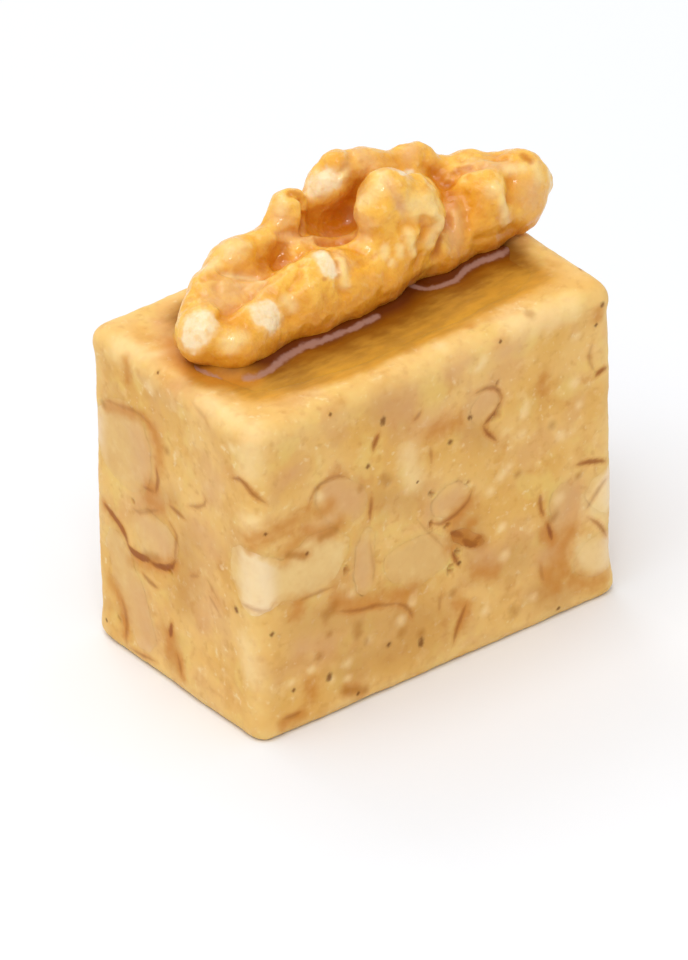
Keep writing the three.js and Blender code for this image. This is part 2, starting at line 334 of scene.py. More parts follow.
# %% Roughen the block, and keep its underside flat
for size, depth in ((4.5, 0.10), (1.6, 0.05), (0.6, 0.03)):
    roughen(paste, size, depth)
write_points(paste, np.clip(read_points(paste), [-half_x, -half_y, 0], [half_x, half_y, top]))
block_tree = surface_of(paste)
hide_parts("paste_block")
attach(paste, "root")
print("block roughened")

# %% [markdown]
# ## Cut walnut pieces
#
# A walnut piece in the paste shows as a smooth, paler island that lies flush with the
# cut side. Each one starts as a copy of its solid, whose few facets are smoothed away
# by a remesh, and gets an uneven outline. Then everything near the paste's skin is laid
# flush with it, a hair above, which gives back the crisp edge that the knife left.


# %% Copy the solids of the cut pieces
def copy_of(node_name, piece_name):
    """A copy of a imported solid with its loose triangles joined."""
    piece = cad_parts[node_name].copy()
    piece.data = piece.data.copy()
    piece.name = piece_name
    piece.parent = None
    bpy.context.collection.objects.link(piece)
    only(piece)
    bpy.ops.object.mode_set(mode="EDIT")
    bpy.ops.mesh.select_all(action="SELECT")
    bpy.ops.mesh.remove_doubles(threshold=0.001 * MM)
    bpy.ops.object.mode_set(mode="OBJECT")
    piece.data.materials.clear()
    return piece


def cut_walnut(node_name):
    """A walnut piece that lies flush in the block's side.

    Points less than crisp under the skin move out, and those less than near lie flush.
    """
    piece = copy_of(node_name, node_name.replace("nut_", "cut_walnut_"))
    piece_step = 0.16
    apply_modifier(piece, "REMESH", mode="VOXEL", voxel_size=piece_step * MM)
    apply_modifier(piece, "SMOOTH", factor=0.5, iterations=8)
    roughen(piece, size=1.5, depth=0.28, octaves=2)
    spots = read_points(piece)
    near, crisp, lift = 0.4, 0.8, 0.008
    for i in np.where(under_skin(spots)[0] < crisp)[0]:
        skin, way, _, _ = block_tree.find_nearest(Vector(spots[i]))
        depth = (skin - Vector(spots[i])).dot(way)
        if depth < crisp:
            flush = max(depth - near, 0) * crisp / (crisp - near)
            spots[i] += np.array(way) * (depth - flush + lift)
    write_points(piece, spots)
    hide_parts(node_name)
    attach(piece, "root")
    return piece


nut_names = sorted(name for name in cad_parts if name.startswith("nut_"))
cut_pieces = {name: cut_walnut(name) for name in nut_names}
print("cut pieces:", len(cut_pieces), sum(triangles(p) for p in cut_pieces.values()), "triangles")

# %% [markdown]
# ## Room for the cut pieces
#
# The paste sinks away under each piece, a little inside its outline, so that the two don't
# share a place, and the paste still runs up to the piece without a groove.

# %% Sink the paste under the cut pieces
places = read_points(paste)
facing = read_normals(paste)
sink = np.zeros(len(places))
probe_depth, sink_depth, inner, outer = 0.3, 0.45, -0.55, -0.24
for piece in cut_pieces.values():
    tree = surface_of(piece)
    for i in close_to(places, read_points(piece), 0):
        away = signed_distance(tree, places[i] - probe_depth * facing[i], 1.0)
        share = min(max((outer - away) / (outer - inner), 0), 1)
        sink[i] = max(sink[i], share * share * (3 - 2 * share))
places -= facing * (sink_depth * sink)[:, None]
write_points(paste, places)
print("sunk points:", int((sink > 0.5).sum()))

# %% [markdown]
# ## The walnut kernel
#
# Half a walnut kernel is a ring of brain-like lobes round a valley. It starts as a copy
# of its solid, which holds the big lobes. A fine remesh gives it skin to work on, and
# cloud patterns give the small bumps. Folds are then pushed out and creases pressed in
# along lines that were read off the photo. A little smoothing lays the sugar glaze over
# it all, and a last, finer pattern wrinkles the skin again.

# %% Folds and creases on the kernel
# Each one is a push outwards in millimetres, a width and a line of photo pixels.
left_folds = [
    (-0.35, 0.45, [(222, 317), (229, 310), (238, 304), (247, 297), (255, 289), (264, 282)]),
    (-0.3, 0.4, [(203, 278), (212, 276), (220, 279), (216, 288)]),
    (-0.4, 0.4, [(222, 270), (240, 275), (258, 278), (270, 275)]),
    (-0.6, 0.7, [(278, 262), (283, 253), (285, 244)]), (-0.25, 0.35, [(276, 230), (290, 232), (303, 232)]),
    (-0.35, 0.35, [(290, 193), (297, 194), (302, 197)]), (0.3, 0.9, [(238, 243), (252, 237)]),
    (0.25, 0.8, [(224, 291), (240, 288), (252, 286)]), (-0.2, 0.6, [(286, 300), (290, 312), (286, 322)]),
    (-0.15, 0.5, [(232, 322), (243, 326), (248, 334)]),
]
middle_folds = [
    (-0.7, 1.1, [(318, 218), (332, 220), (346, 218)]), (-0.5, 0.35, [(306, 202), (306, 215), (306, 230)]),
    (-0.5, 0.45, [(322, 241), (335, 242), (348, 241)]),
    (-0.3, 0.4, [(323, 167), (330, 171), (338, 174), (346, 170)]),
    (-0.25, 0.45, [(350, 150), (351, 160), (353, 172)]),
    (-0.22, 0.4, [(332, 249), (337, 262), (338, 275), (341, 290)]),
    (0.12, 0.45, [(342, 262), (344, 275), (346, 286)]),
    (-0.14, 0.4, [(345, 294), (348, 280), (353, 269), (361, 264), (371, 264), (380, 269), (386, 279)]),
    (0.18, 0.8, [(362, 280), (372, 280)]), (-0.15, 0.3, [(349, 248), (360, 252), (374, 257)]),
    (-0.35, 0.5, [(300, 262), (297, 275), (290, 287)]),
]
knob_folds = [
    (-0.15, 0.3, [(386, 178), (392, 189), (398, 201), (405, 213)]),
    (-0.15, 0.35, [(401, 224), (407, 222), (414, 224)]),
    (0.1, 0.4, [(405, 228), (410, 237), (413, 246), (415, 254)]),
    (-0.12, 0.35, [(400, 232), (404, 242), (407, 253)]), (-0.4, 0.5, [(424, 222), (427, 230), (424, 239)]),
    (0.25, 0.45, [(434, 213), (441, 221), (437, 234), (432, 246)]),
    (-0.25, 0.35, [(418, 246), (421, 255), (417, 264)]),
    (-0.15, 0.35, [(393, 240), (393, 252), (389, 262)]),
]
right_folds = [
    (-0.8, 0.6, [(437, 172), (443, 180), (448, 190)]),
    (-0.45, 0.45, [(451, 178), (457, 171), (469, 167), (482, 164)]),
    (-0.4, 0.5, [(447, 200), (446, 218), (441, 240), (437, 255)]),
    (-0.3, 0.6, [(464, 196), (466, 210), (466, 224)]), (0.25, 0.5, [(453, 207), (455, 222), (456, 238)]),
    (0.25, 0.45, [(493, 186), (500, 196), (504, 208), (505, 222)]),
    (-0.4, 0.5, [(511, 179), (512, 189), (510, 200)]), (-0.3, 0.45, [(497, 158), (503, 157)]),
    (-0.3, 0.45, [(428, 153), (426, 162), (424, 170)]), (-0.2, 0.4, [(523, 156), (531, 162)]),
    (-0.25, 0.5, [(478, 240), (498, 236), (514, 228)]),
]
folds = left_folds + middle_folds + knob_folds + right_folds
print("folds:", len(folds))

# %% Start the kernel
kernel = copy_of("walnut_kernel", "walnut_half")
kernel_step = 0.13
apply_modifier(kernel, "REMESH", mode="VOXEL", voxel_size=kernel_step * MM)
apply_modifier(kernel, "SMOOTH", factor=0.5, iterations=9)
roughen(kernel, size=2.6, depth=0.16)
roughen(kernel, size=1.2, depth=0.10)
print("kernel:", triangles(kernel), "triangles")

# %% Push the folds out and press the creases in
spots = read_points(kernel)
facing = read_normals(kernel)
kernel_tree = surface_of(kernel)
pushed = np.zeros(len(spots))
# A fold is short, so only points this many millimetres round its middle can feel it.
fold_reach = 6
for push, width, pixels in folds:
    line = laid_line(kernel_tree, pixels)
    near = np.where(np.all(np.abs(spots - line.mean(axis=0)) < fold_reach, axis=1))[0]
    away = line_distance(spots[near], line)
    pushed[near] += push * np.exp(-(away / width) ** 2)
write_points(kernel, spots + facing * pushed[:, None])
apply_modifier(kernel, "SMOOTH", factor=0.5, iterations=3)
roughen(kernel, size=0.9, depth=0.07, octaves=2)
spots = read_points(kernel)
kernel_low, kernel_high = [np.array(corner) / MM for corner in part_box("walnut_kernel")]
write_points(kernel, np.clip(spots, kernel_low, kernel_high))
kernel_tree = surface_of(kernel)
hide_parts("walnut_kernel")
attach(kernel, "root")
print("deepest crease", round(float(pushed.min()), 2), "mm")

# %% [markdown]
# ## The syrup
#
# Syrup ran from the kernel and soaked the top, and a low bead of it stands where the
# kernel meets the paste. It is one sheet of small faces over the top. Each point's height
# comes from how far it lies from the kernel's foot and from the shore, so the bead
# follows the kernel by itself. Solidify closes the sheet.

# %% Model the syrup
film_low, film_high = [np.array(corner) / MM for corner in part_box("syrup_film")]
film_size = film_high - film_low
film_middle = (film_low + film_high) / 2
film_step = 0.16
bpy.ops.object.select_all(action="DESELECT")
bpy.ops.mesh.primitive_grid_add(
    x_subdivisions=round(film_size[0] / film_step), y_subdivisions=round(film_size[1] / film_step),
    size=1, location=(film_middle[0] * MM, film_middle[1] * MM, top * MM),
)
syrup = bpy.context.object
syrup.name = "syrup_pool"
syrup.scale = (film_size[0] * MM, film_size[1] * MM, 1)
bpy.ops.object.transform_apply(location=True, rotation=True, scale=True)


def shore_share(spots):
    """0 at the middle of the syrup and 1 at its uneven shore."""
    x = (spots[:, 0] - film_middle[0]) / (film_size[0] / 2)
    y = (spots[:, 1] - film_middle[1]) / (film_size[1] / 2)
    angle = np.arctan2(y, x)
    waves = 0.03 * np.sin(5 * angle + 1) + 0.02 * np.sin(11 * angle)
    squareness = 5
    share = (np.abs(x) ** squareness + np.abs(y) ** squareness) ** (1 / squareness)
    return share * (1.03 + waves)


def foot_distance(spots):
    """How far each place on the top lies from the kernel's foot. Lower places are far."""
    foot_height, top_layer, reach, far = 0.35, 1.2, 20, 9.0
    beside = [(x, y, top + foot_height) for x, y, z in spots]
    return np.array([
        signed_distance(kernel_tree, place, reach) if z > top - top_layer else far
        for place, z in zip(beside, spots[:, 2])
    ])


print("grid:", triangles(syrup), "triangles")

# %% Raise the bead
spots = read_points(syrup)
foot = foot_distance(spots)
shore = shore_share(spots)
bead_reach, bead_height, film_height, shore_drop = 1.1, 0.45, 0.1, 0.3
bead = bead_height * np.clip(1 - np.maximum(foot, 0) / bead_reach, 0, 1) ** 1.5
film_top = top + film_height - shore_drop * smooth_step(0.8, 1.0, shore)
spots[:, 2] = film_top + bead * smooth_step(1.0, 0.85, shore)
write_points(syrup, spots)
apply_modifier(syrup, "SMOOTH", factor=0.5, iterations=3)
sheet_depth = 0.35
apply_modifier(syrup, "SOLIDIFY", thickness=sheet_depth * MM, offset=-1)
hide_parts("syrup_film")
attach(syrup, "root")
print("syrup:", triangles(syrup), "triangles")

# %% [markdown]
# ## Marks on the cut sides
#
# Brown wisps of walnut skin, dark specks, orange stains, pale crumbs and broad pinkish, tan or creamy clouds
# lie all over the paste. The broad tan strokes low on the long side are painted shade, darker towards the
# bottom. The cream strokes along the near upright edge and just under the top's rim are a painted highlight.
# On the two sides that show they were read off the photo. Each is a width in millimetres and a line of photo
# pixels, which is laid on the block along the camera's lines of sight. A wisp also has a strength.

# %% Wisps of walnut skin on the sides that show
long_side_wisps = [
    (0.3, 0.7, [(474, 394), (480, 391), (487, 388), (494, 388), (499, 391), (502, 397), (500, 404)]),
    (0.36, 0.9, [(501, 402), (497, 410), (492, 416), (487, 421), (483, 427)]),
    (0.36, 0.9, [(482, 425), (487, 433), (492, 437), (497, 441)]),
    (0.4, 0.9, [(379, 433), (376, 440), (374, 445), (373, 452)]),
    (0.28, 0.5, [(422, 410), (418, 416), (413, 422)]),
    (0.32, 0.8, [(371, 495), (371, 505), (370, 512), (370, 521)]),
    (0.28, 0.6, [(308, 507), (311, 497), (315, 490), (322, 483), (330, 478), (338, 476), (348, 477)]),
    (0.38, 0.7, [(430, 523), (440, 524), (448, 520), (456, 514), (463, 507), (468, 501), (473, 488)]),
    (0.18, 0.4, [(416, 518), (424, 528), (430, 534), (437, 540), (445, 549)]),
    (0.38, 1.0, [(452, 551), (455, 559), (459, 566)]),
    (0.36, 0.8, [(467, 602), (463, 612), (459, 622), (456, 632), (453, 645)]),
    (0.4, 0.6, [(336, 611), (352, 611), (364, 609), (376, 605), (386, 605), (399, 603)]),
    (0.36, 0.6, [(396, 603), (405, 606), (410, 611), (413, 619)]),
    (0.28, 0.5, [(297, 602), (312, 595), (322, 591), (336, 586)]),
    (0.36, 0.8, [(540, 493), (540, 503), (541, 509), (544, 517)]),
    (0.46, 1.0, [(547, 523), (550, 532), (552, 541)]),
    (0.46, 0.9, [(575, 465), (588, 462), (598, 461), (610, 461)]),
    (0.28, 0.5, [(612, 474), (605, 480), (600, 487), (595, 495), (590, 503), (586, 510)]),
    (0.32, 0.7, [(589, 518), (597, 523), (602, 528), (607, 537)]),
    (0.3, 0.4, [(540, 563), (541, 572), (544, 582)]),
    (0.3, 0.4, [(593, 342), (589, 354), (590, 363), (595, 372)]),
    (0.42, 0.9, [(594, 378), (599, 372), (607, 367)]),
    (0.28, 0.3, [(370, 542), (372, 556), (374, 570), (373, 583)]),
    (0.24, 0.4, [(240, 602), (250, 608), (260, 611), (270, 610), (275, 601)]),
    (0.36, 0.8, [(231, 478), (240, 479), (246, 485), (252, 493), (258, 498), (267, 504)]),
    (0.3, 0.4, [(442, 590), (440, 601), (439, 612)]), (0.3, 0.4, [(430, 446), (431, 455), (432, 465)]),
    (0.3, 0.6, [(281, 720), (292, 716), (303, 711)]), (0.6, 0.9, [(449, 532), (457, 534), (464, 537)]),
    (0.7, 1.0, [(462, 539), (469, 544), (478, 545)]), (0.4, 0.7, [(474, 539), (482, 537)]),
    (0.36, 0.8, [(453, 554), (457, 560), (458, 564)]),
]
short_side_wisps = [
    (0.24, 0.4, [
        (102, 401), (110, 401), (118, 405), (127, 408), (135, 411), (142, 416), (150, 424), (155, 432),
    ]),
    (0.46, 0.7, [(156, 466), (158, 480), (157, 487), (155, 495)]),
    (0.32, 0.5, [(157, 492), (150, 490), (142, 486)]),
    (0.64, 0.9, [(103, 502), (110, 511), (116, 519), (122, 528), (126, 537), (129, 547)]),
    (0.9, 1.0, [(127, 544), (134, 553), (141, 557), (152, 561)]),
    (0.64, 1.0, [(148, 560), (158, 566), (166, 568), (172, 567), (176, 560)]),
    (0.24, 0.6, [(167, 518), (173, 528), (177, 536), (176, 545), (175, 555), (175, 563)]),
    (0.32, 0.4, [(132, 508), (140, 513), (150, 511), (160, 510)]),
    (0.32, 0.7, [(169, 505), (177, 512), (186, 520)]),
    (0.3, 0.6, [(188, 506), (198, 507), (204, 505), (206, 500), (203, 494)]),
    (0.44, 0.6, [(142, 573), (150, 582), (159, 589)]),
    (0.36, 0.5, [(121, 596), (126, 612), (127, 625), (126, 640), (128, 652)]),
    (0.22, 0.7, [(130, 648), (142, 655), (157, 662)]), (0.6, 1.0, [(172, 622), (171, 630), (170, 638)]),
    (0.34, 0.5, [(177, 652), (180, 665), (182, 677)]), (0.22, 0.4, [(206, 577), (213, 590), (219, 602)]),
    (0.24, 0.4, [(208, 594), (214, 604), (220, 615)]),
    (0.26, 0.3, [(191, 401), (198, 410), (205, 418), (210, 430)]), (0.2, 0.4, [(189, 576), (200, 576)]),
]
print("wisps:", len(long_side_wisps), "and", len(short_side_wisps))

# %% Specks, crumbs, stains and clouds on the sides that show
seen_marks = {
    "speck": [
        (0.42, [(450, 442)]), (0.4, [(383, 419), (383, 423)]), (0.38, [(470, 418)]), (0.42, [(603, 305)]),
        (0.45, [(421, 640), (421, 644)]), (0.38, [(330, 675), (329, 679)]), (0.34, [(294, 691)]),
        (0.48, [(237, 611)]), (0.36, [(458, 563)]), (0.26, [(418, 481)]), (0.3, [(266, 534)]),
        (0.26, [(157, 372)]), (0.32, [(106, 620)]), (0.3, [(330, 414)]), (0.36, [(367, 467)]),
        (0.34, [(307, 553)]), (0.4, [(390, 645)]), (0.36, [(272, 635)]), (0.34, [(357, 694)]),
        (0.34, [(558, 608)]), (0.28, [(500, 341)]), (0.3, [(596, 326)]),
    ],
    "smudge": [
        (0.8, [(384, 478), (388, 481)]), (0.55, [(361, 488)]), (0.7, [(528, 314)]), (0.7, [(551, 425)]),
        (0.8, [(358, 626), (358, 634)]), (0.9, [(333, 608), (327, 614)]), (0.65, [(420, 634)]),
        (0.6, [(578, 475)]), (0.6, [(517, 475)]), (0.65, [(320, 656)]), (0.55, [(330, 634)]),
        (0.6, [(366, 643)]), (0.7, [(555, 515), (551, 520)]), (0.6, [(167, 452)]), (0.6, [(104, 404)]),
        (0.6, [(452, 594)]), (0.9, [(515, 612)]), (0.8, [(400, 634)]), (0.6, [(345, 690), (365, 690)]),
        (0.8, [(148, 556), (156, 558)]), (0.5, [(288, 555), (305, 556)]), (0.6, [(322, 537), (335, 530)]),
        (0.8, [(456, 537), (466, 538)]), (0.7, [(470, 542), (480, 541)]),
    ],
    "stain": [
        (1.5, [(250, 541), (262, 537), (275, 531), (288, 524), (300, 519), (310, 513)]),
        (1.0, [(308, 510), (318, 514), (326, 510), (331, 505)]),
        (1.1, [(300, 530), (318, 534), (330, 531), (339, 524)]),
        (1.5, [(287, 554), (294, 546), (300, 538)]), (0.7, [(263, 541)]), (0.9, [(286, 553), (306, 554)]),
        (0.9, [(250, 548), (268, 540), (290, 532)]), (1.0, [(320, 537), (335, 530)]),
        (1.0, [(452, 538), (466, 536), (480, 543)]), (1.1, [(450, 548), (462, 540), (470, 524)]),
        (1.0, [(108, 408), (140, 414), (154, 430), (158, 450)]),
        (1.6, [(570, 534), (565, 546), (562, 558), (564, 572)]),
        (1.2, [(572, 580), (590, 585), (602, 580)]), (1.3, [(338, 602), (354, 606), (374, 602)]),
        (1.3, [(390, 594), (402, 596), (412, 590)]), (1.1, [(459, 602), (466, 608), (461, 626)]),
        (1.2, [(310, 684), (312, 696)]), (1.0, [(346, 690), (362, 692)]), (1.0, [(284, 724), (302, 714)]),
        (1.5, [(434, 432), (456, 422)]), (1.0, [(544, 378), (542, 391)]), (0.9, [(599, 312), (596, 320)]),
        (0.9, [(126, 362), (128, 382)]), (1.1, [(157, 438), (160, 452), (159, 468)]),
        (1.3, [(152, 486), (148, 500), (160, 508)]), (1.2, [(170, 636), (169, 650)]),
        (0.9, [(178, 654), (182, 676)]), (1.0, [(106, 506), (122, 530)]),
        (1.2, [(132, 560), (150, 566), (172, 566)]), (1.1, [(112, 582), (122, 600), (126, 630)]),
        (1.1, [(544, 532), (554, 542)]), (1.3, [(470, 500), (452, 524)]), (1.1, [(546, 574), (556, 588)]),
        (1.2, [(300, 604), (296, 614)]), (0.8, [(472, 326)]), (1.2, [(478, 572), (494, 574)]),
    ],
    "blush": [
        (2.4, [(388, 404), (402, 410)]), (2.2, [(424, 424), (440, 420)]), (2.0, [(330, 492), (356, 500)]),
        (1.5, [(312, 528), (328, 522)]), (1.8, [(440, 506), (456, 496)]), (2.2, [(574, 494), (562, 518)]),
        (2.0, [(478, 404), (488, 396)]), (1.6, [(545, 556), (556, 550)]), (1.4, [(452, 372), (466, 360)]),
        (1.6, [(505, 352), (516, 350)]), (1.6, [(360, 552), (362, 584)]), (1.4, [(300, 470), (286, 478)]),
        (2.2, [(138, 436), (146, 452), (142, 470)]), (2.0, [(150, 528), (160, 540), (164, 552)]),
        (1.6, [(140, 500), (156, 502)]), (2.0, [(196, 528), (212, 544)]), (2.2, [(140, 596), (148, 640)]),
        (1.6, [(178, 386), (190, 392)]), (1.8, [(212, 596), (206, 622)]), (1.6, [(216, 480), (210, 496)]),
        (1.6, [(162, 322), (170, 340)]), (1.8, [(474, 548), (492, 560)]), (1.6, [(300, 648), (330, 646)]),
    ],
    # Broad tan clouds. The wide strokes low on the long side are painted shade, darker towards the bottom.
    "tan": [
        (4.0, [(312, 622), (360, 622), (430, 618)]), (3.0, [(350, 664), (420, 640)]),
        (2.6, [(480, 566), (520, 560)]), (2.4, [(550, 540), (550, 566)]), (2.6, [(388, 408), (404, 416)]),
        (2.0, [(462, 520), (478, 548)]), (2.6, [(188, 540), (184, 600)]), (2.0, [(150, 498), (172, 500)]),
        (2.2, [(410, 500), (380, 500)]), (2.4, [(540, 590), (560, 594)]), (1.8, [(174, 640), (176, 664)]),
        (1.8, [(470, 430), (484, 440)]),
    ],
    # Pale crumbs. The long strokes along the near upright edge and just under the top's rim are a painted
    # highlight.
    "cream": [
        (1.3, [(600, 496), (601, 512), (602, 524)]), (1.0, [(592, 508), (594, 516)]),
        (1.1, [(582, 556), (596, 566)]), (1.8, [(252, 430), (248, 470)]), (1.6, [(250, 522), (254, 530)]),
        (1.6, [(250, 566), (256, 600)]), (1.6, [(246, 646), (252, 676)]),
        (1.8, [(512, 324), (548, 318), (570, 306)]), (0.8, [(560, 436)]), (0.7, [(521, 436)]),
        (0.7, [(576, 336)]), (0.7, [(580, 404)]), (0.8, [(401, 620)]), (0.7, [(350, 595)]),
        (0.7, [(311, 669)]), (0.9, [(560, 497)]), (0.9, [(441, 346)]), (0.6, [(414, 592), (412, 602)]),
        (0.7, [(320, 498)]), (0.9, [(233, 450)]), (0.8, [(574, 384)]), (1.6, [(408, 452), (414, 480)]),
        (0.8, [(484, 360), (478, 368)]), (0.7, [(526, 404), (524, 414)]), (0.8, [(508, 468), (500, 478)]),
        (0.8, [(346, 664)]), (0.6, [(333, 681)]), (0.6, [(347, 678)]), (1.6, [(592, 506), (604, 512)]),
        (2.0, [(580, 548), (602, 560)]), (0.6, [(368, 641)]), (1.0, [(252, 340), (140, 356)]),
        (1.6, [(120, 344), (136, 352)]), (0.8, [(505, 554)]), (0.6, [(502, 528)]), (0.7, [(490, 490)]),
        (0.8, [(486, 612)]), (0.7, [(533, 598)]), (0.9, [(150, 388)]), (1.6, [(206, 402), (236, 420)]),
        (0.7, [(408, 490)]), (0.6, [(291, 683)]),
    ],
}
print("marks:", {kind: len(strokes) for kind, strokes in seen_marks.items()})

# %% [markdown]
# The two sides that face away are finished like the two that show. Their marks are
# drawn by lot from a fixed seed: a short walk that turns a little at each step for a
# wisp of skin, and shorter ones or single spots for the rest.

# %% Marks drawn by lot for the sides that face away
draw = random.Random(11)


def drawn_walk(side, turns):
    """A bent line on the right or the back side, in millimetres."""
    reach = half_y if side == "right" else half_x
    along, height = draw.uniform(-reach + 1, reach - 1), draw.uniform(1, top - 1)
    heading = draw.uniform(0, math.tau)
    walk = []
    for _ in range(turns + 1):
        walk.append((half_x, along, height) if side == "right" else (along, half_y, height))
        heading += draw.gauss(0, 0.6)
        step = draw.uniform(0.5, 1.2)
        along, height = along + step * math.cos(heading), height + step * math.sin(heading)
    return np.array(walk)


# For each kind, the widths in millimetres, the most turns, and how many there are on one
# patch of the side, whose area is in square millimetres.
patch_area = 42
drawn_kinds = {
    "speck": (0.26, 0.45, 0, 1.2), "smudge": (0.5, 0.9, 1, 0.8), "stain": (0.8, 1.5, 3, 1.2),
    "blush": (1.4, 2.4, 2, 1.0), "tan": (1.8, 3.2, 2, 0.6), "cream": (0.6, 1.8, 1, 1.6),
}
wisps = [
    (width, strength, laid_line(block_tree, pixels))
    for width, strength, pixels in long_side_wisps + short_side_wisps
]
marks = {
    kind: [(width, laid_line(block_tree, pixels)) for width, pixels in strokes]
    for kind, strokes in seen_marks.items()
}
for side, area in (("right", 2 * half_y * top), ("back", 2 * half_x * top)):
    patches = area / patch_area
    for _ in range(round(patches)):
        width, strength = draw.uniform(0.2, 0.42), draw.uniform(0.3, 0.9)
        wisps.append((width, strength, drawn_walk(side, draw.randint(2, 6))))
    for kind, (thin, wide, turns, share) in drawn_kinds.items():
        for _ in range(round(share * patches)):
            marks[kind].append((draw.uniform(thin, wide), drawn_walk(side, draw.randint(0, turns))))
print("all wisps:", len(wisps), "all marks:", sum(len(lines) for lines in marks.values()))

# %% [markdown]
# A mark is kept as a number at each point that is 1 on its line and fades to 0 one width
# away. The material cuts it off halfway, with noise, which makes the edge ragged.


# %% Keep the marks on the paste and on the cut pieces
def lay_lines(piece, name, lines):
    """Keeps a layer that is 1 on the lines and 0 from one line's width away.

    A single spot moves to the nearest point of the mesh, where it shows at full strength.
    """
    spots = read_points(piece)
    layer = np.zeros(len(spots))
    for width, line in lines:
        near = close_to(spots, line, width)
        if len(near) == 0:
            continue
        away = line_distance(spots[near], line)
        if len(line) == 1:
            away = line_distance(spots[near], spots[near][[away.argmin()]])
        layer[near] = np.maximum(layer[near], np.clip(1 - away / width, 0, 1))
    store(piece, name, layer)


marked_pieces = [paste, *cut_pieces.values()]
for piece in marked_pieces:
    for kind, lines in marks.items():
        lay_lines(piece, kind, lines)
print("layers of marks:", ", ".join(marks))

# %% [markdown]
# A wisp is thinner than the mesh is fine. It keeps its distance to the middle line with
# a sign, which runs evenly across the line and so stays exact between two points, and
# the reach of its colour, which tapers at the ends.


# %% Keep the wisps
def across_line(spots, facing, line):
    """Distance to the left or right of a line on a surface, and the share of its length."""
    lengths = np.linalg.norm(np.diff(line, axis=0), axis=1)
    so_far = np.concatenate([[0], np.cumsum(lengths)])
    side, share = np.full(len(spots), 9.0), np.zeros(len(spots))
    for i, (start, end) in enumerate(zip(line, line[1:])):
        along = end - start
        part = np.clip((spots - start) @ along / lengths[i] ** 2, 0, 1)
        offset = spots - start - part[:, None] * along
        offset -= facing * np.einsum("ij,ij->i", offset, facing)[:, None]
        away = np.linalg.norm(offset, axis=1)
        turned = np.einsum("ij,ij->i", np.cross(along, offset), facing)
        closer = away < np.abs(side)
        side[closer] = np.where(turned < 0, -away, away)[closer]
        share[closer] = (so_far[i] + part * lengths[i])[closer] / so_far[-1]
    return side, share


def lay_wisps(piece):
    """Keeps the distance to the nearest wisp, the reach of its colour and its strength."""
    clear, fade_from, margin = -0.2, 0.25, 1.0
    spots = read_points(piece)
    facing = under_skin(spots)[1]
    side, reach, strong = np.full(len(spots), 1.0), np.full(len(spots), -0.5), np.zeros(len(spots))
    for width, strength, line in wisps:
        near = close_to(spots, line, margin)
        if len(near) == 0:
            continue
        own_side, share = across_line(spots[near], facing[near], line)
        taper = np.clip(4 * share * (1 - share), 0, 1) ** 0.5
        own_reach = clear + (0.5 * width - clear) * taper
        own_reach -= 2 * np.maximum(np.abs(own_side) - fade_from, 0)
        better = own_reach - np.abs(own_side) > (reach - np.abs(side))[near]
        side[near[better]], reach[near[better]] = own_side[better], own_reach[better]
        strong[near[better]] = strength
    store(piece, "wisp_side", np.clip(side, -1, 1))
    store(piece, "wisp_reach", np.clip(reach, -0.5, 0.5))
    store(piece, "wisp_strength", strong)


for piece in marked_pieces:
    lay_wisps(piece)
print("wisps laid on", len(marked_pieces), "pieces")

# %% [markdown]
# ## Where the syrup soaked in
#
# The top is amber next to the kernel and fades to pale paste towards the edges. One number says how soaked
# each place is. The paste and the syrup both keep it, so their colours meet without a seam. A second number
# marks the block's edges, which are painted pale, a painted highlight for the light that gets through them
# from two sides. Along its crest the bead has a painted highlight, a thin mauve line, which is laid by photo
# pixels like the kernel's folds. A warm amber band round the kernel's left end is laid in the same way.

# %% Keep how soaked the top is
bead_glints = [
    (0.55, [(246, 378), (258, 377), (268, 371), (280, 362), (295, 352), (306, 346), (318, 342)]),
    (0.42, [(318, 342), (330, 338), (342, 333), (356, 327), (370, 320), (378, 316)]),
    (0.26, [(193, 367), (206, 373), (221, 380)]),
    (0.34, [(410, 285), (425, 289), (440, 287), (455, 280), (466, 270)]),
    (0.44, [(466, 270), (480, 262), (495, 257), (510, 249), (520, 243)]),
]
amber_rim = [(1.6, [(173, 344), (176, 354), (184, 365), (198, 374), (216, 380), (234, 382), (248, 380)])]


def soaked(spots):
    """1 at the kernel's foot, falling to 0 past the shore and down the sides."""
    fade_start, fade_width = 0.88, 0.27
    over = 1 - np.clip((shore_share(spots) - fade_start) / fade_width, 0, 1)
    level = smooth_step(top - 1.0, top - 0.2, spots[:, 2])
    back_left = smooth_step(-1, 4, spots[:, 1]) * (1 - smooth_step(-13, -9, spots[:, 0]))
    right_end = smooth_step(6, 13, spots[:, 0])
    drier_left, drier_right = 0.5, 0.12
    return over * level * (1 - drier_left * back_left) * (1 - drier_right * right_end)


def lay_strokes(piece, tree, name, strokes):
    """Lays strokes, each a width and a line of photo pixels, on a surface and keeps them."""
    lay_lines(piece, name, [(width, laid_line(tree, pixels)) for width, pixels in strokes])


def near_edge(spots):
    """1 on the block's rounded edges, falling to 0 a little way onto its sides."""
    beyond = np.abs(spots - [0, 0, top / 2]) - (np.array([half_x, half_y, top / 2]) - edge_round)
    return smooth_step(-1.2, 0.9, np.sort(beyond, axis=1)[:, 1])


# The edge number drives a painted highlight on the block's edges, on the paste, the syrup and the cut
# pieces.
for piece in (paste, syrup, *cut_pieces.values()):
    store(piece, "edge", near_edge(read_points(piece)))
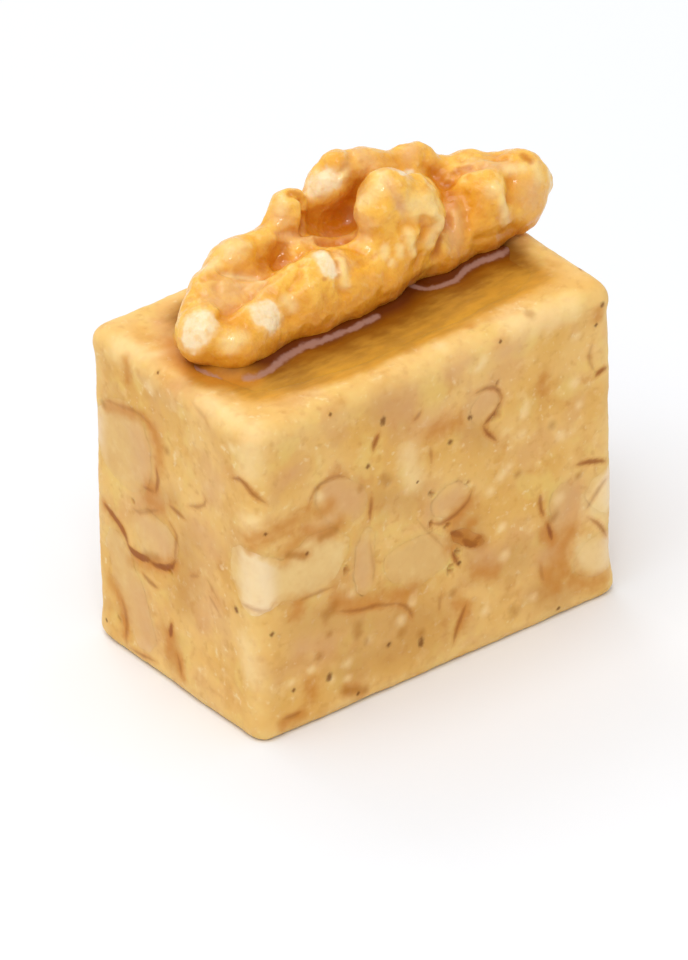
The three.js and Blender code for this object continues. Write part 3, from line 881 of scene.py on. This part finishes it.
# Little syrup ran to the left end and behind the kernel, so places there count as lying this many
# millimetres farther from its foot. This also thins the painted shade along the foot there.
thinner_left, thinner_behind = 1.7, 1.19
for piece in (paste, syrup):
    spots = read_points(piece)
    store(piece, "soaked", soaked(spots))
    left_end = thinner_left * (1 - smooth_step(-12, -9, spots[:, 0]))
    behind = thinner_behind * smooth_step(1, 4, spots[:, 1])
    store(piece, "from_foot", foot_distance(spots) + np.maximum(left_end, behind))
    lay_strokes(piece, surface_of(piece), "left_rim", amber_rim)
lay_strokes(syrup, surface_of(syrup), "glint", bead_glints)
print("soaked places and glints kept")

# %% [markdown]
# ## Skin at the rim of the cut pieces, and their tone
#
# A cut walnut piece is cream to tan inside, and part of its rim keeps a thin brown skin.
# Each piece has a tone between 0, brown, and 1, cream, and a number at each point that
# says how near the rim is. The rim is where the piece's side wall starts, just under the
# skin of the block.

# %% Keep the rim and the tone of each piece
tones = {
    "nut_left_1": 0.62, "nut_left_2": 0.66, "nut_left_3": 0.60, "nut_front_1": 0.80,
    "nut_front_2": 0.66, "nut_front_3": 0.58, "nut_front_4": 0.45, "nut_front_5": 0.50,
    "nut_front_6": 0.55, "nut_front_7": 0.08, "nut_front_8": 0.52, "nut_front_9": 0.60,
    "nut_front_10": 0.95,
}
wall_depth, rim_width = 0.22, 0.9
for name, piece in cut_pieces.items():
    spots = read_points(piece)
    depth, _ = under_skin(spots)
    wall = spots[depth > wall_depth]
    tree = KDTree(len(wall))
    for i, spot in enumerate(wall):
        tree.insert(spot, i)
    tree.balance()
    near_rim = np.array([tree.find(spot)[2] for spot in spots])
    store(piece, "rim", np.clip(1 - near_rim / rim_width, 0, 1))
    tone = tones.get(name, draw.uniform(0.4, 0.85))
    store(piece, "tone", np.full(len(spots), tone))
print("rims stored")

# %% [markdown]
# ## Bare flesh, stains, painted highlights and painted shade on the kernel
#
# Where the brown skin came off, the kernel's white flesh shows as clear-edged patches. Elsewhere it is
# golden where syrup gathered. The pale strokes are partly paler folds and partly painted highlights. The
# pink strokes are a painted reflection of the glaze, and the brown ones are painted shade in the deepest
# creases, in the valley and along the kernel's foot. Each of these is a layer of strokes. A stroke is a
# width in millimetres and a line of photo pixels. Hollows are found by comparing the mesh with a much
# smoother copy of itself: where the copy lies above it, there is a hollow. The hollows are painted darker as
# shade and the ridges paler as highlight, which gives the sides that the photo doesn't show the same look.

# %% Strokes of each layer
flesh_strokes = [
    (1.25, [(192, 321), (190, 334), (193, 343)]), (1.2, [(196, 318), (205, 317), (208, 325)]),
    (1.1, [(201, 328), (199, 338)]), (1.3, [(259, 309), (269, 309), (274, 316)]),
    (1.2, [(260, 319), (267, 320), (270, 324)]), (1.4, [(313, 185), (321, 177), (330, 178)]),
    (1.0, [(313, 190), (324, 187), (335, 182)]), (0.5, [(401, 173), (412, 172)]),
    (1.0, [(320, 254), (325, 262), (328, 270)]), (0.8, [(329, 262), (332, 274)]),
]
# Partly paler folds and partly painted highlights where the glaze catches the light.
pale_fold_and_highlight_strokes = [
    (1.1, [(229, 342), (241, 337)]), (0.8, [(228, 347), (235, 345)]), (1.5, [(228, 249), (238, 247)]),
    (0.8, [(282, 199), (281, 207)]), (1.0, [(436, 214), (441, 221), (438, 229)]),
    (1.6, [(414, 206), (436, 206)]), (0.9, [(492, 192), (499, 187)]),
    (0.6, [(502, 197), (505, 208), (505, 222)]), (1.0, [(536, 167), (539, 176)]),
    (0.7, [(549, 172), (551, 185)]), (0.6, [(385, 249), (385, 256)]), (0.6, [(400, 248), (400, 254)]),
    (0.4, [(390, 264), (392, 261)]), (0.7, [(408, 233), (412, 246), (414, 252)]),
    (1.0, [(382, 175), (378, 187)]), (0.9, [(207, 268), (216, 263)]),
    (0.6, [(226, 276), (245, 278), (260, 281)]), (0.7, [(340, 258), (343, 270), (345, 284)]),
    (0.8, [(508, 169), (524, 168)]), (1.0, [(345, 170), (343, 178)]), (0.7, [(312, 195), (325, 194)]),
    (0.8, [(286, 300), (292, 306)]), (1.2, [(362, 200), (372, 195)]), (0.8, [(430, 243), (434, 234)]),
]
golden_strokes = [
    (2.8, [(196, 352), (206, 359), (225, 365), (245, 362), (262, 352), (278, 343), (292, 336)]),
    (1.4, [(221, 322), (236, 318), (244, 330)]), (1.2, [(290, 312), (304, 300)]),
    (1.0, [(221, 314), (222, 321)]), (0.7, [(242, 326), (244, 327)]),
    (1.1, [(425, 223), (427, 231), (424, 238)]), (0.8, [(402, 224), (412, 224)]),
    (1.1, [(511, 180), (512, 196)]), (1.2, [(464, 196), (467, 222)]), (2.0, [(476, 200), (480, 215)]),
    (2.0, [(470, 236), (490, 233), (512, 229)]), (1.8, [(238, 264), (250, 266), (262, 264)]),
    (2.0, [(302, 322), (330, 314), (360, 300), (385, 290), (402, 277), (416, 262)]),
    (1.2, [(360, 276), (374, 278)]), (1.0, [(436, 262), (452, 256), (462, 248)]),
    (1.2, [(430, 168), (440, 166)]), (0.9, [(496, 157), (506, 156)]), (1.2, [(340, 160), (345, 166)]),
    (1.4, [(384, 160), (396, 160)]), (0.9, [(212, 276), (221, 274)]), (1.0, [(352, 254), (358, 262)]),
    (1.0, [(270, 292), (278, 296)]),
]
# Painted shade in the deepest creases, in the valley and along the kernel's foot.
crease_and_foot_shade_strokes = [
    (2.2, [(334, 214), (346, 212), (350, 224)]), (1.6, [(314, 224), (330, 228), (345, 230)]),
    (0.7, [(306, 208), (306, 218), (306, 230)]), (1.2, [(354, 182), (362, 184), (352, 196)]),
    (0.9, [(280, 259), (284, 248)]), (1.4, [(262, 268), (270, 262), (272, 250)]),
    (0.8, [(323, 242), (335, 242), (348, 241)]), (1.1, [(437, 174), (443, 180), (448, 190)]),
    (0.5, [(291, 193), (299, 194)]), (0.3, [(324, 279), (325, 279)]), (0.8, [(250, 365), (254, 367)]),
    (0.4, [(336, 262), (338, 275)]), (0.8, [(450, 194), (454, 204)]), (0.5, [(439, 238), (437, 252)]),
    (0.5, [(523, 155), (530, 161)]),
    (1.0, [(272, 353), (290, 343), (310, 333), (340, 324), (370, 311), (400, 291), (418, 275)]),
    (1.0, [(432, 274), (448, 270), (464, 260), (482, 251), (502, 242), (518, 232)]),
    (0.9, [(232, 371), (246, 372)]), (0.4, [(452, 174), (460, 169), (469, 168)]),
]
# A painted reflection of the glaze on flat facets.
pink_reflection_strokes = [
    (2.4, [(222, 290), (238, 287), (252, 286)]), (1.4, [(212, 301), (228, 303)]),
    (0.9, [(280, 235), (300, 237), (318, 239)]), (0.6, [(324, 236), (345, 236), (356, 236)]),
    (1.1, [(472, 165), (490, 165), (508, 166)]), (1.5, [(452, 211), (454, 225), (452, 240)]),
    (0.8, [(387, 182), (395, 195), (402, 208)]), (1.8, [(531, 188), (533, 200)]),
    (1.6, [(362, 154), (368, 162)]), (1.1, [(408, 156), (412, 148)]), (0.8, [(504, 210), (506, 222)]),
    (0.8, [(336, 252), (345, 258), (348, 266)]), (1.0, [(350, 214), (368, 224), (362, 236)]),
    (1.2, [(276, 215), (285, 222)]),
]
kernel_layers = {
    "flesh": flesh_strokes, "pale": pale_fold_and_highlight_strokes, "golden": golden_strokes,
    "brown": crease_and_foot_shade_strokes, "pink": pink_reflection_strokes,
}
print("strokes:", sum(len(strokes) for strokes in kernel_layers.values()))

# %% Keep the layers and the hollows
for name, strokes in kernel_layers.items():
    lay_strokes(kernel, kernel_tree, name, strokes)
smoother = kernel.copy()
smoother.data = kernel.data.copy()
bpy.context.collection.objects.link(smoother)
lobe_smoothing = 80
apply_modifier(smoother, "SMOOTH", factor=0.5, iterations=lobe_smoothing)
spots = read_points(kernel)
rise = np.einsum("ij,ij->i", read_points(smoother) - spots, read_normals(kernel))
bpy.data.objects.remove(smoother)
# The hollow number is used for painted shade in the hollows and a painted highlight on the ridges.
full_hollow = 0.3
store(kernel, "hollow", np.clip(0.5 + 0.5 * rise / full_hollow, 0, 1))
print("hollow range", round(float(rise.min()), 2), round(float(rise.max()), 2), "mm")

# %% [markdown]
# ## Helpers for materials
#
# A colour is written as the sRGB hex that a colour picker shows, and one function turns
# it to the linear values that Blender works in. Another adds a node with its settings
# and its links. The rest put several nodes together for one purpose each.


# %% Material helpers
def tint(hex_colour):
    """Linear RGBA of an sRGB hex colour."""
    parts = [int(hex_colour[i:i + 2], 16) / 255 for i in (1, 3, 5)]
    linear = [p / 12.92 if p <= 0.04045 else ((p + 0.055) / 1.055) ** 2.4 for p in parts]
    return (*linear, 1.0)


def add_node(tree, kind, inputs, output=0, **settings):
    """Adds a node with its settings. An input is a value or another node's output."""
    node = tree.nodes.new(kind)
    for name, value in settings.items():
        setattr(node, name, value)
    for name, value in inputs.items():
        if isinstance(value, bpy.types.NodeSocket):
            tree.links.new(value, node.inputs[name])
        else:
            node.inputs[name].default_value = value
    return node.outputs[output] if node.outputs else None


def new_material(name):
    """An empty node material, its shader, and places in millimetres."""
    material = bpy.data.materials.new(name)
    material.use_nodes = True
    tree = material.node_tree
    tree.nodes.clear()
    surface = add_node(tree, "ShaderNodeBsdfPrincipled", {})
    add_node(tree, "ShaderNodeOutputMaterial", {"Surface": surface})
    place = add_node(tree, "ShaderNodeTexCoord", {}, "Object")
    where = add_node(tree, "ShaderNodeVectorMath", {0: place, "Scale": 1 / MM}, operation="SCALE")
    return material, tree, surface.node, where


def finish(tree, shader, colour, **values):
    """Links the colour and sets the shader's plain values."""
    tree.links.new(colour, shader.inputs["Base Color"])
    for name, value in values.items():
        shader.inputs[name.replace("_", " ")].default_value = value


print("material helpers ready")


# %% Patches, ragged layers and coats of colour
def patchy(tree, where, size, low, high, share):
    """Cloudy patches of about size millimetres, from 0 up to share."""
    clouds = add_node(tree, "ShaderNodeTexNoise", {"Vector": where, "Scale": 1 / size, "Detail": 3.0}, "Fac")
    ends = {"Value": clouds, "From Min": low, "From Max": high, "To Max": share}
    return add_node(tree, "ShaderNodeMapRange", ends, interpolation_type="SMOOTHSTEP")


def ragged(tree, where, layer, size, raggedness, softness, share):
    """A kept layer cut off at a half, its edge made uneven by noise, up to share."""
    kept = add_node(tree, "ShaderNodeAttribute", {}, "Fac", attribute_name=layer)
    wobble = add_node(tree, "ShaderNodeTexNoise", {"Vector": where, "Scale": 1 / size}, "Fac")
    moved = add_node(tree, "ShaderNodeMath", {0: wobble, 1: raggedness, 2: kept}, operation="MULTIPLY_ADD")
    middle = 0.5 + raggedness / 2
    ends = {"Value": moved, "From Min": middle - softness, "From Max": middle + softness, "To Max": share}
    return add_node(tree, "ShaderNodeMapRange", ends, interpolation_type="SMOOTHSTEP")


def painted(tree, colour, coats):
    """Lays coats over a colour, each a share and a hex colour."""
    for share, hex_colour in coats:
        sides = {"Factor": share, 6: colour, 7: tint(hex_colour)}
        colour = add_node(tree, "ShaderNodeMix", sides, 2, data_type="RGBA")
    return colour


def add_grain(tree, shader, where, size, strength, depth, detail):
    """Fine unevenness, whose size and depth are in millimetres, in the shading alone."""
    clouds = {"Vector": where, "Scale": 1 / size, "Detail": detail}
    grain = add_node(tree, "ShaderNodeTexNoise", clouds, "Fac")
    relief = {"Height": grain, "Strength": strength, "Distance": depth * MM}
    tree.links.new(add_node(tree, "ShaderNodeBump", relief), shader.inputs["Normal"])


print("layer helpers ready")

# %% [markdown]
# ## Finish of the paste
#
# The paste is ground nuts and dates pressed smooth and cut: pale gold, slightly oily,
# with light grains of nut, cloudy differences from place to place and a soft glow from
# inside. Nothing in it is one colour, so it is built in layers, from the broad clouds to
# the finest grain.


# %% The paste's own colours
def paste_colour(tree, where):
    """Pale gold with soft clouds of other golds, faint grains and a painted highlight on the edges."""
    edge = add_node(tree, "ShaderNodeAttribute", {}, "Fac", attribute_name="edge")
    # The edges are painted paler, a painted highlight for light that gets through them from two sides,
    # broken into patches.
    edge_light_patches = patchy(tree, where, 3.0, 0.25, 0.6, 0.5)
    painted_edge_light = add_node(tree, "ShaderNodeMath", {0: edge, 1: edge_light_patches}, operation="MULTIPLY")
    return painted(tree, tint("#e6b25c"), [
        (patchy(tree, where, 7.0, 0.38, 0.62, 1.0), "#efc173"),
        (patchy(tree, where, 3.3, 0.48, 0.66, 0.55), "#dca463"),
        (patchy(tree, where, 2.1, 0.5, 0.7, 0.5), "#d89b47"),
        (patchy(tree, where, 2.7, 0.52, 0.7, 0.6), "#eeca72"),
        (patchy(tree, where, 1.2, 0.53, 0.7, 0.35), "#f6d290"),
        (patchy(tree, where, 0.8, 0.54, 0.74, 0.3), "#c98a3a"),
        (patchy(tree, where, 0.6, 0.6, 0.74, 0.5), "#f8dfaa"),
        (painted_edge_light, "#f7d48a"),
    ])


print("paste colours ready")

# %% [markdown]
# The kept marks lie on top, the broad and faint ones first. A wisp of walnut skin is
# brown in its middle and has an orange halo, where its colour bled into the paste.


# %% The colours of the marks
def add_marks(tree, where, colour):
    """Lays the kept clouds, stains, wisps and specks over a colour."""
    side = add_node(tree, "ShaderNodeAttribute", {}, "Fac", attribute_name="wisp_side")
    reach = add_node(tree, "ShaderNodeAttribute", {}, "Fac", attribute_name="wisp_reach")
    strength = add_node(tree, "ShaderNodeAttribute", {}, "Fac", attribute_name="wisp_strength")
    away = add_node(tree, "ShaderNodeMath", {0: side}, operation="ABSOLUTE")
    wobble = add_node(tree, "ShaderNodeTexNoise", {"Vector": where, "Scale": 1 / 0.6, "Detail": 2.0}, "Fac")
    ragged_reach = add_node(tree, "ShaderNodeMath", {0: wobble, 1: 0.26, 2: reach}, operation="MULTIPLY_ADD")
    inside = add_node(tree, "ShaderNodeMath", {0: ragged_reach, 1: away}, operation="SUBTRACT")
    ends = {"Value": inside, "From Min": 0.0, "From Max": 0.3, "To Max": 0.85}
    wisp = add_node(tree, "ShaderNodeMapRange", ends)
    ends = {"Value": inside, "From Min": -0.45, "From Max": 0.1, "To Max": 0.45}
    halo = add_node(tree, "ShaderNodeMapRange", ends)
    strong_wisp = add_node(tree, "ShaderNodeMath", {0: wisp, 1: strength}, operation="MULTIPLY")
    strong_halo = add_node(tree, "ShaderNodeMath", {0: halo, 1: strength}, operation="MULTIPLY")
    return painted(tree, colour, [
        # Tan is partly painted shade, darker low on the long side. Cream is partly a painted highlight along
        # the block's edges.
        (ragged(tree, where, "tan", 2.0, 0.6, 0.6, 0.6), "#c9924a"),
        (ragged(tree, where, "blush", 1.6, 0.6, 0.6, 0.5), "#dca470"),
        (ragged(tree, where, "cream", 0.9, 0.6, 0.5, 0.6), "#fcdc9f"),
        (ragged(tree, where, "stain", 0.8, 0.9, 0.6, 0.7), "#cc8228"),
        (strong_halo, "#c97a20"),
        (strong_wisp, "#964c06"),
        (ragged(tree, where, "smudge", 0.6, 0.6, 0.5, 0.5), "#ab6808"),
        (ragged(tree, where, "speck", 0.35, 0.5, 0.35, 0.8), "#733d00"),
    ])


print("mark colours ready")

# %% [markdown]
# Where syrup soaked in, the paste is amber, and the deeper the closer to the kernel. Fine
# streaks along the block keep the change from looking even.


# %% The colours of the soaked paste
def soak(tree, where, colour):
    """Turns a colour to amber by how soaked the place is and how near the kernel."""
    stretched = add_node(tree, "ShaderNodeMapping", {"Vector": where, "Scale": (0.4, 1, 1)})
    foot = add_node(tree, "ShaderNodeAttribute", {}, "Fac", attribute_name="from_foot")
    depth = add_node(tree, "ShaderNodeMapRange", {"Value": foot, "From Min": 7.0, "From Max": 0.6})
    streaks = patchy(tree, stretched, 0.6, 0.3, 0.7, 0.18)
    deep = add_node(tree, "ShaderNodeMath", {0: depth, 1: streaks}, operation="ADD")
    amber = add_node(tree, "ShaderNodeValToRGB", {"Fac": deep})
    stops = amber.node.color_ramp.elements
    stops[0].position, stops[0].color = 0.0, tint("#eaab3c")
    stops[1].position, stops[1].color = 1.0, tint("#85500c")
    for position, hex_colour in ((0.35, "#d8982e"), (0.7, "#b47c26")):
        stop = stops.new(position)
        stop.color = tint(hex_colour)
    share = ragged(tree, where, "soaked", 2.2, 0.4, 0.26, 0.97)
    sides = {"Factor": share, 6: colour, 7: amber}
    soaked_paste = add_node(tree, "ShaderNodeMix", sides, 2, data_type="RGBA")
    at_left_end = ragged(tree, where, "left_rim", 1.5, 0.4, 0.45, 0.75)
    return painted(tree, soaked_paste, [(at_left_end, "#cf8428")])


print("soaked colours ready")

# %% Paste material
paste_finish, tree, shader, where = new_material("soft_nut_and_date_paste")
colour = soak(tree, where, add_marks(tree, where, paste_colour(tree, where)))
finish(
    tree, shader, colour, Specular_IOR_Level=0.2, Subsurface_Weight=0.35,
    Subsurface_Scale=1.0 * MM, Subsurface_Radius=(1.0, 0.65, 0.3),
)
kept = add_node(tree, "ShaderNodeAttribute", {}, "Fac", attribute_name="soaked")
shine = add_node(tree, "ShaderNodeMapRange", {"Value": kept, "To Min": 0.52, "To Max": 0.32})
tree.links.new(shine, shader.inputs["Roughness"])
add_grain(tree, shader, where, size=0.35, strength=0.3, depth=0.06, detail=3.0)
paste.data.materials.append(paste_finish)
print("paste finish:", len(tree.nodes), "nodes")

# %% [markdown]
# ## Finish of the cut walnut
#
# Cut walnut flesh is cream to tan, dense and waxy, with a faint grain, and it is smoother
# than the paste. The knife left a thin line of brown skin along part of the rim, and it
# smeared a film of paste over the rest, so a light piece fades into the paste. The
# pieces have little glow, because light that went into one would be lost at its hidden
# wall and leave a grey line round it.

# %% Cut walnut material
walnut_flesh, tree, shader, where = new_material("cut_walnut_flesh")
kept = add_node(tree, "ShaderNodeAttribute", {}, "Fac", attribute_name="tone")
shade = add_node(tree, "ShaderNodeValToRGB", {"Fac": kept})
stops = shade.node.color_ramp.elements
stops[0].position, stops[0].color = 0.1, tint("#a0540f")
stops[1].position, stops[1].color = 0.9, tint("#f3d08c")
for position, hex_colour in ((0.4, "#deab66"), (0.6, "#e6ba72")):
    stop = stops.new(position)
    stop.color = tint(hex_colour)
rim = add_node(tree, "ShaderNodeAttribute", {}, "Fac", attribute_name="rim")
skin_place = patchy(tree, where, 2.4, 0.45, 0.6, 1.0)
skin = add_node(tree, "ShaderNodeMath", {0: rim, 1: skin_place}, operation="MULTIPLY")
ends = {"Value": skin, "From Min": 0.6, "From Max": 1.0, "To Max": 0.3}
skin_share = add_node(tree, "ShaderNodeMapRange", ends)
# The block's edges are painted paler on the pieces too, a painted highlight.
edge = add_node(tree, "ShaderNodeAttribute", {}, "Fac", attribute_name="edge")
painted_edge_light = add_node(tree, "ShaderNodeMath", {0: edge, 1: 0.75}, operation="MULTIPLY")
colour = painted(tree, shade, [
    (patchy(tree, where, 2.0, 0.35, 0.7, 0.3), "#dca964"),
    (patchy(tree, where, 0.9, 0.5, 0.75, 0.2), "#f3d592"),
    (painted_edge_light, "#ffe8c6"),
])
wave = patchy(tree, where, 1.3, 0.3, 0.7, 0.5)
wavy_rim = add_node(tree, "ShaderNodeMath", {0: rim, 1: wave}, operation="ADD")
ends = {"Value": kept, "From Min": -0.1, "From Max": 0.4, "To Max": 0.9}
light = add_node(tree, "ShaderNodeMapRange", ends)
ends = {"Value": wavy_rim, "From Min": 0.5, "From Max": 1.2, "To Max": light}
melted = add_node(tree, "ShaderNodeMapRange", ends)
sides = {"Factor": melted, 6: colour, 7: paste_colour(tree, where)}
colour = add_node(tree, "ShaderNodeMix", sides, 2, data_type="RGBA")
colour = add_marks(tree, where, painted(tree, colour, [(skin_share, "#c08448")]))
finish(
    tree, shader, colour, Roughness=0.45, Specular_IOR_Level=0.2, Subsurface_Weight=0.06,
    Subsurface_Scale=0.4 * MM, Subsurface_Radius=(1.0, 0.6, 0.3),
)
add_grain(tree, shader, where, size=0.6, strength=0.25, depth=0.05, detail=2.0)
for piece in cut_pieces.values():
    piece.data.materials.append(walnut_flesh)
print("cut walnut finish:", len(tree.nodes), "nodes")

# %% [markdown]
# ## Finish of the glazed kernel
#
# The kernel is golden under a clear sugar glaze. Light goes in and comes out orange, so it has a strong
# subsurface, and the glaze is a clear coat that is smooth while the kernel below it is not. Its hollows and
# its lowest part are painted darker as shade, and its ridges paler as a painted highlight.

# %% Glazed kernel material
glazed_walnut, tree, shader, where = new_material("sugar_glazed_walnut")
# Painted shade in the hollows and a painted highlight on the ridges.
kept = add_node(tree, "ShaderNodeAttribute", {}, "Fac", attribute_name="hollow")
ends = {"Value": kept, "From Min": 0.48, "From Max": 0.75, "To Max": 0.8}
painted_hollow_shade = add_node(tree, "ShaderNodeMapRange", ends)
ends = {"Value": kept, "From Min": 0.5, "From Max": 0.2, "To Max": 0.35}
painted_ridge_light = add_node(tree, "ShaderNodeMapRange", ends)
# The lowest part of the kernel is painted darker, painted shade where less light reaches.
height = add_node(tree, "ShaderNodeSeparateXYZ", {"Vector": where}, "Z")
shaded_low_part = {"Value": height, "From Min": top + 2.2, "From Max": top + 0.2, "To Max": 0.6}
deep_colour_and_shade_at_foot = add_node(tree, "ShaderNodeMapRange", shaded_low_part, interpolation_type="SMOOTHSTEP")
colour = painted(tree, tint("#f6b840"), [
    (patchy(tree, where, 3.2, 0.3, 0.7, 1.0), "#f8c254"),
    (patchy(tree, where, 1.1, 0.48, 0.72, 0.45), "#e29420"),
    (patchy(tree, where, 0.6, 0.52, 0.7, 0.5), "#fbd088"),
    (painted_ridge_light, "#fccb74"),
    (patchy(tree, where, 0.4, 0.5, 0.7, 0.25), "#d8881a"),
    (painted_hollow_shade, "#dd8400"),
    (deep_colour_and_shade_at_foot, "#cc7a12"),
    (ragged(tree, where, "golden", 1.2, 0.4, 0.5, 0.58), "#e09016"),
    # Pink is a painted reflection, pale is partly a painted highlight, and brown is painted shade in creases
    # and along the foot.
    (ragged(tree, where, "pink", 1.2, 0.4, 0.5, 0.55), "#e2ac7a"),
    (ragged(tree, where, "pale", 0.8, 0.4, 0.5, 0.6), "#fddf9e"),
    (ragged(tree, where, "brown", 0.9, 0.4, 0.5, 0.7), "#c46e00"),
    (ragged(tree, where, "flesh", 1.0, 0.9, 0.5, 0.6), "#f7d49c"),
])
bare = ragged(tree, where, "flesh", 0.9, 0.9, 0.2, 0.9)
mottled = painted(tree, tint("#f9e1b8"), [(patchy(tree, where, 0.6, 0.45, 0.7, 0.6), "#f2c884")])
colour = add_node(tree, "ShaderNodeMix", {"Factor": bare, 6: colour, 7: mottled}, 2, data_type="RGBA")
finish(
    tree, shader, colour, Roughness=0.35, Specular_IOR_Level=0.12, Subsurface_Weight=0.4,
    Subsurface_Scale=0.7 * MM, Subsurface_Radius=(1.0, 0.74, 0.34),
    Coat_Weight=0.5, Coat_Roughness=0.1,
)
add_grain(tree, shader, where, size=0.6, strength=0.6, depth=0.25, detail=3.0)
kernel.data.materials.append(glazed_walnut)
print("kernel finish:", len(tree.nodes), "nodes")

# %% [markdown]
# ## Finish of the syrup
#
# Amber syrup is thin and clear far from the kernel, where the soaked paste shows through it, and a deep
# brown where it stands thick in the bead. The darkest band, right at the kernel's foot, is partly deep syrup
# and partly painted shadow under the kernel. It is wet, so it is smoother than the paste. The mauve line on
# the bead's crest is painted, a broad dull coat under a narrow light one, because a plain studio has nothing
# mauve to reflect.

# %% Syrup material
amber_syrup, tree, shader, where = new_material("amber_syrup")
foot = add_node(tree, "ShaderNodeAttribute", {}, "Fac", attribute_name="from_foot")
wave = patchy(tree, where, 1.4, 0.3, 0.7, 0.8)
wavy_foot = add_node(tree, "ShaderNodeMath", {0: foot, 1: wave}, operation="ADD")
ends = {"Value": wavy_foot, "From Min": 3.0, "From Max": 1.0, "To Max": 0.8}
near_foot = add_node(tree, "ShaderNodeMapRange", ends)
# Right at the foot, deep syrup and painted shadow under the kernel.
ends = {"Value": foot, "From Min": 1.3, "From Max": 0.5, "To Max": 0.85}
deep_colour_and_shade_at_foot = add_node(tree, "ShaderNodeMapRange", ends)
colour = painted(tree, soak(tree, where, paste_colour(tree, where)), [
    (near_foot, "#8c4b04"),
    (deep_colour_and_shade_at_foot, "#5c2000"),
    (ragged(tree, where, "glint", 0.8, 0.8, 0.45, 0.6), "#8a5640"),
    (ragged(tree, where, "glint", 0.6, 1.2, 0.3, 0.45), "#bf9484"),
])
finish(
    tree, shader, colour, Roughness=0.3, Specular_IOR_Level=0.08, Subsurface_Weight=0.1,
    Subsurface_Scale=0.8 * MM, Subsurface_Radius=(1.0, 0.5, 0.2),
)
syrup.data.materials.append(amber_syrup)
print("syrup finish:", len(tree.nodes), "nodes")

# %% [markdown]
# ## Smooth shading
#
# All pieces are soft, so their faces are shaded smooth. The cut pieces keep a sharp edge
# where the knife went through, or their rims would show as dark lines.

# %% Shade the pieces smooth
for piece in (paste, kernel, syrup):
    only(piece)
    bpy.ops.object.shade_smooth()
sharp_angle = math.radians(35)
for piece in cut_pieces.values():
    only(piece)
    bpy.ops.object.shade_smooth_by_angle(angle=sharp_angle)
print("shaded")

# %% [markdown]
# ## Floor
#
# The sweet stands on a plain white table that runs out of sight.

# %% Floor
bpy.ops.object.select_all(action="DESELECT")
bpy.ops.mesh.primitive_plane_add(size=3.0, location=(0, 0, 0))
floor = bpy.context.object
floor.name = "floor"
white_table, tree, shader, where = new_material("white_table")
colour = painted(tree, tint("#f1f3f7"), [(patchy(tree, where, 300, 0.3, 0.7, 1.0), "#f5f7fa")])
finish(tree, shader, colour, Roughness=0.8)
floor.data.materials.append(white_table)
print("floor ready")

# %% [markdown]
# ## Light
#
# The light is that of a white tent: bright from all round, a little stronger from the
# upper left. A large soft area lamp there lights the short side and the top, and leaves
# the long side a shade darker. A small one beside it gives the glaze its highlights, and
# a faint one far behind lights the sides that the photo doesn't show.


# %% Light
def area_lamp(name, place, size, strength):
    """A square soft lamp at a place in millimetres, aimed at the sweet."""
    data = bpy.data.lights.new(name, "AREA")
    data.shape = "SQUARE"
    data.size = size * MM
    data.energy = strength
    lamp = bpy.data.objects.new(name, data)
    bpy.context.collection.objects.link(lamp)
    lamp.location = Vector(place) * MM
    towards = Vector((0, 0, 0.5 * top)) * MM - lamp.location
    lamp.rotation_euler = towards.to_track_quat("-Z", "Y").to_euler()


tent = bpy.data.worlds.new("white_tent")
tent.use_nodes = True
sky = tent.node_tree.nodes["Background"]
sky.inputs["Color"].default_value = (1, 1, 1, 1)
sky.inputs["Strength"].default_value = 0.66
bpy.context.scene.world = tent
area_lamp("soft_key", (-170, -40, 560), 400, 1.3)
area_lamp("small_window", (-170, -230, 480), 80, 0.3)
area_lamp("far_strip", (60, 380, 420), 260, 0.4)
print("lamps ready")
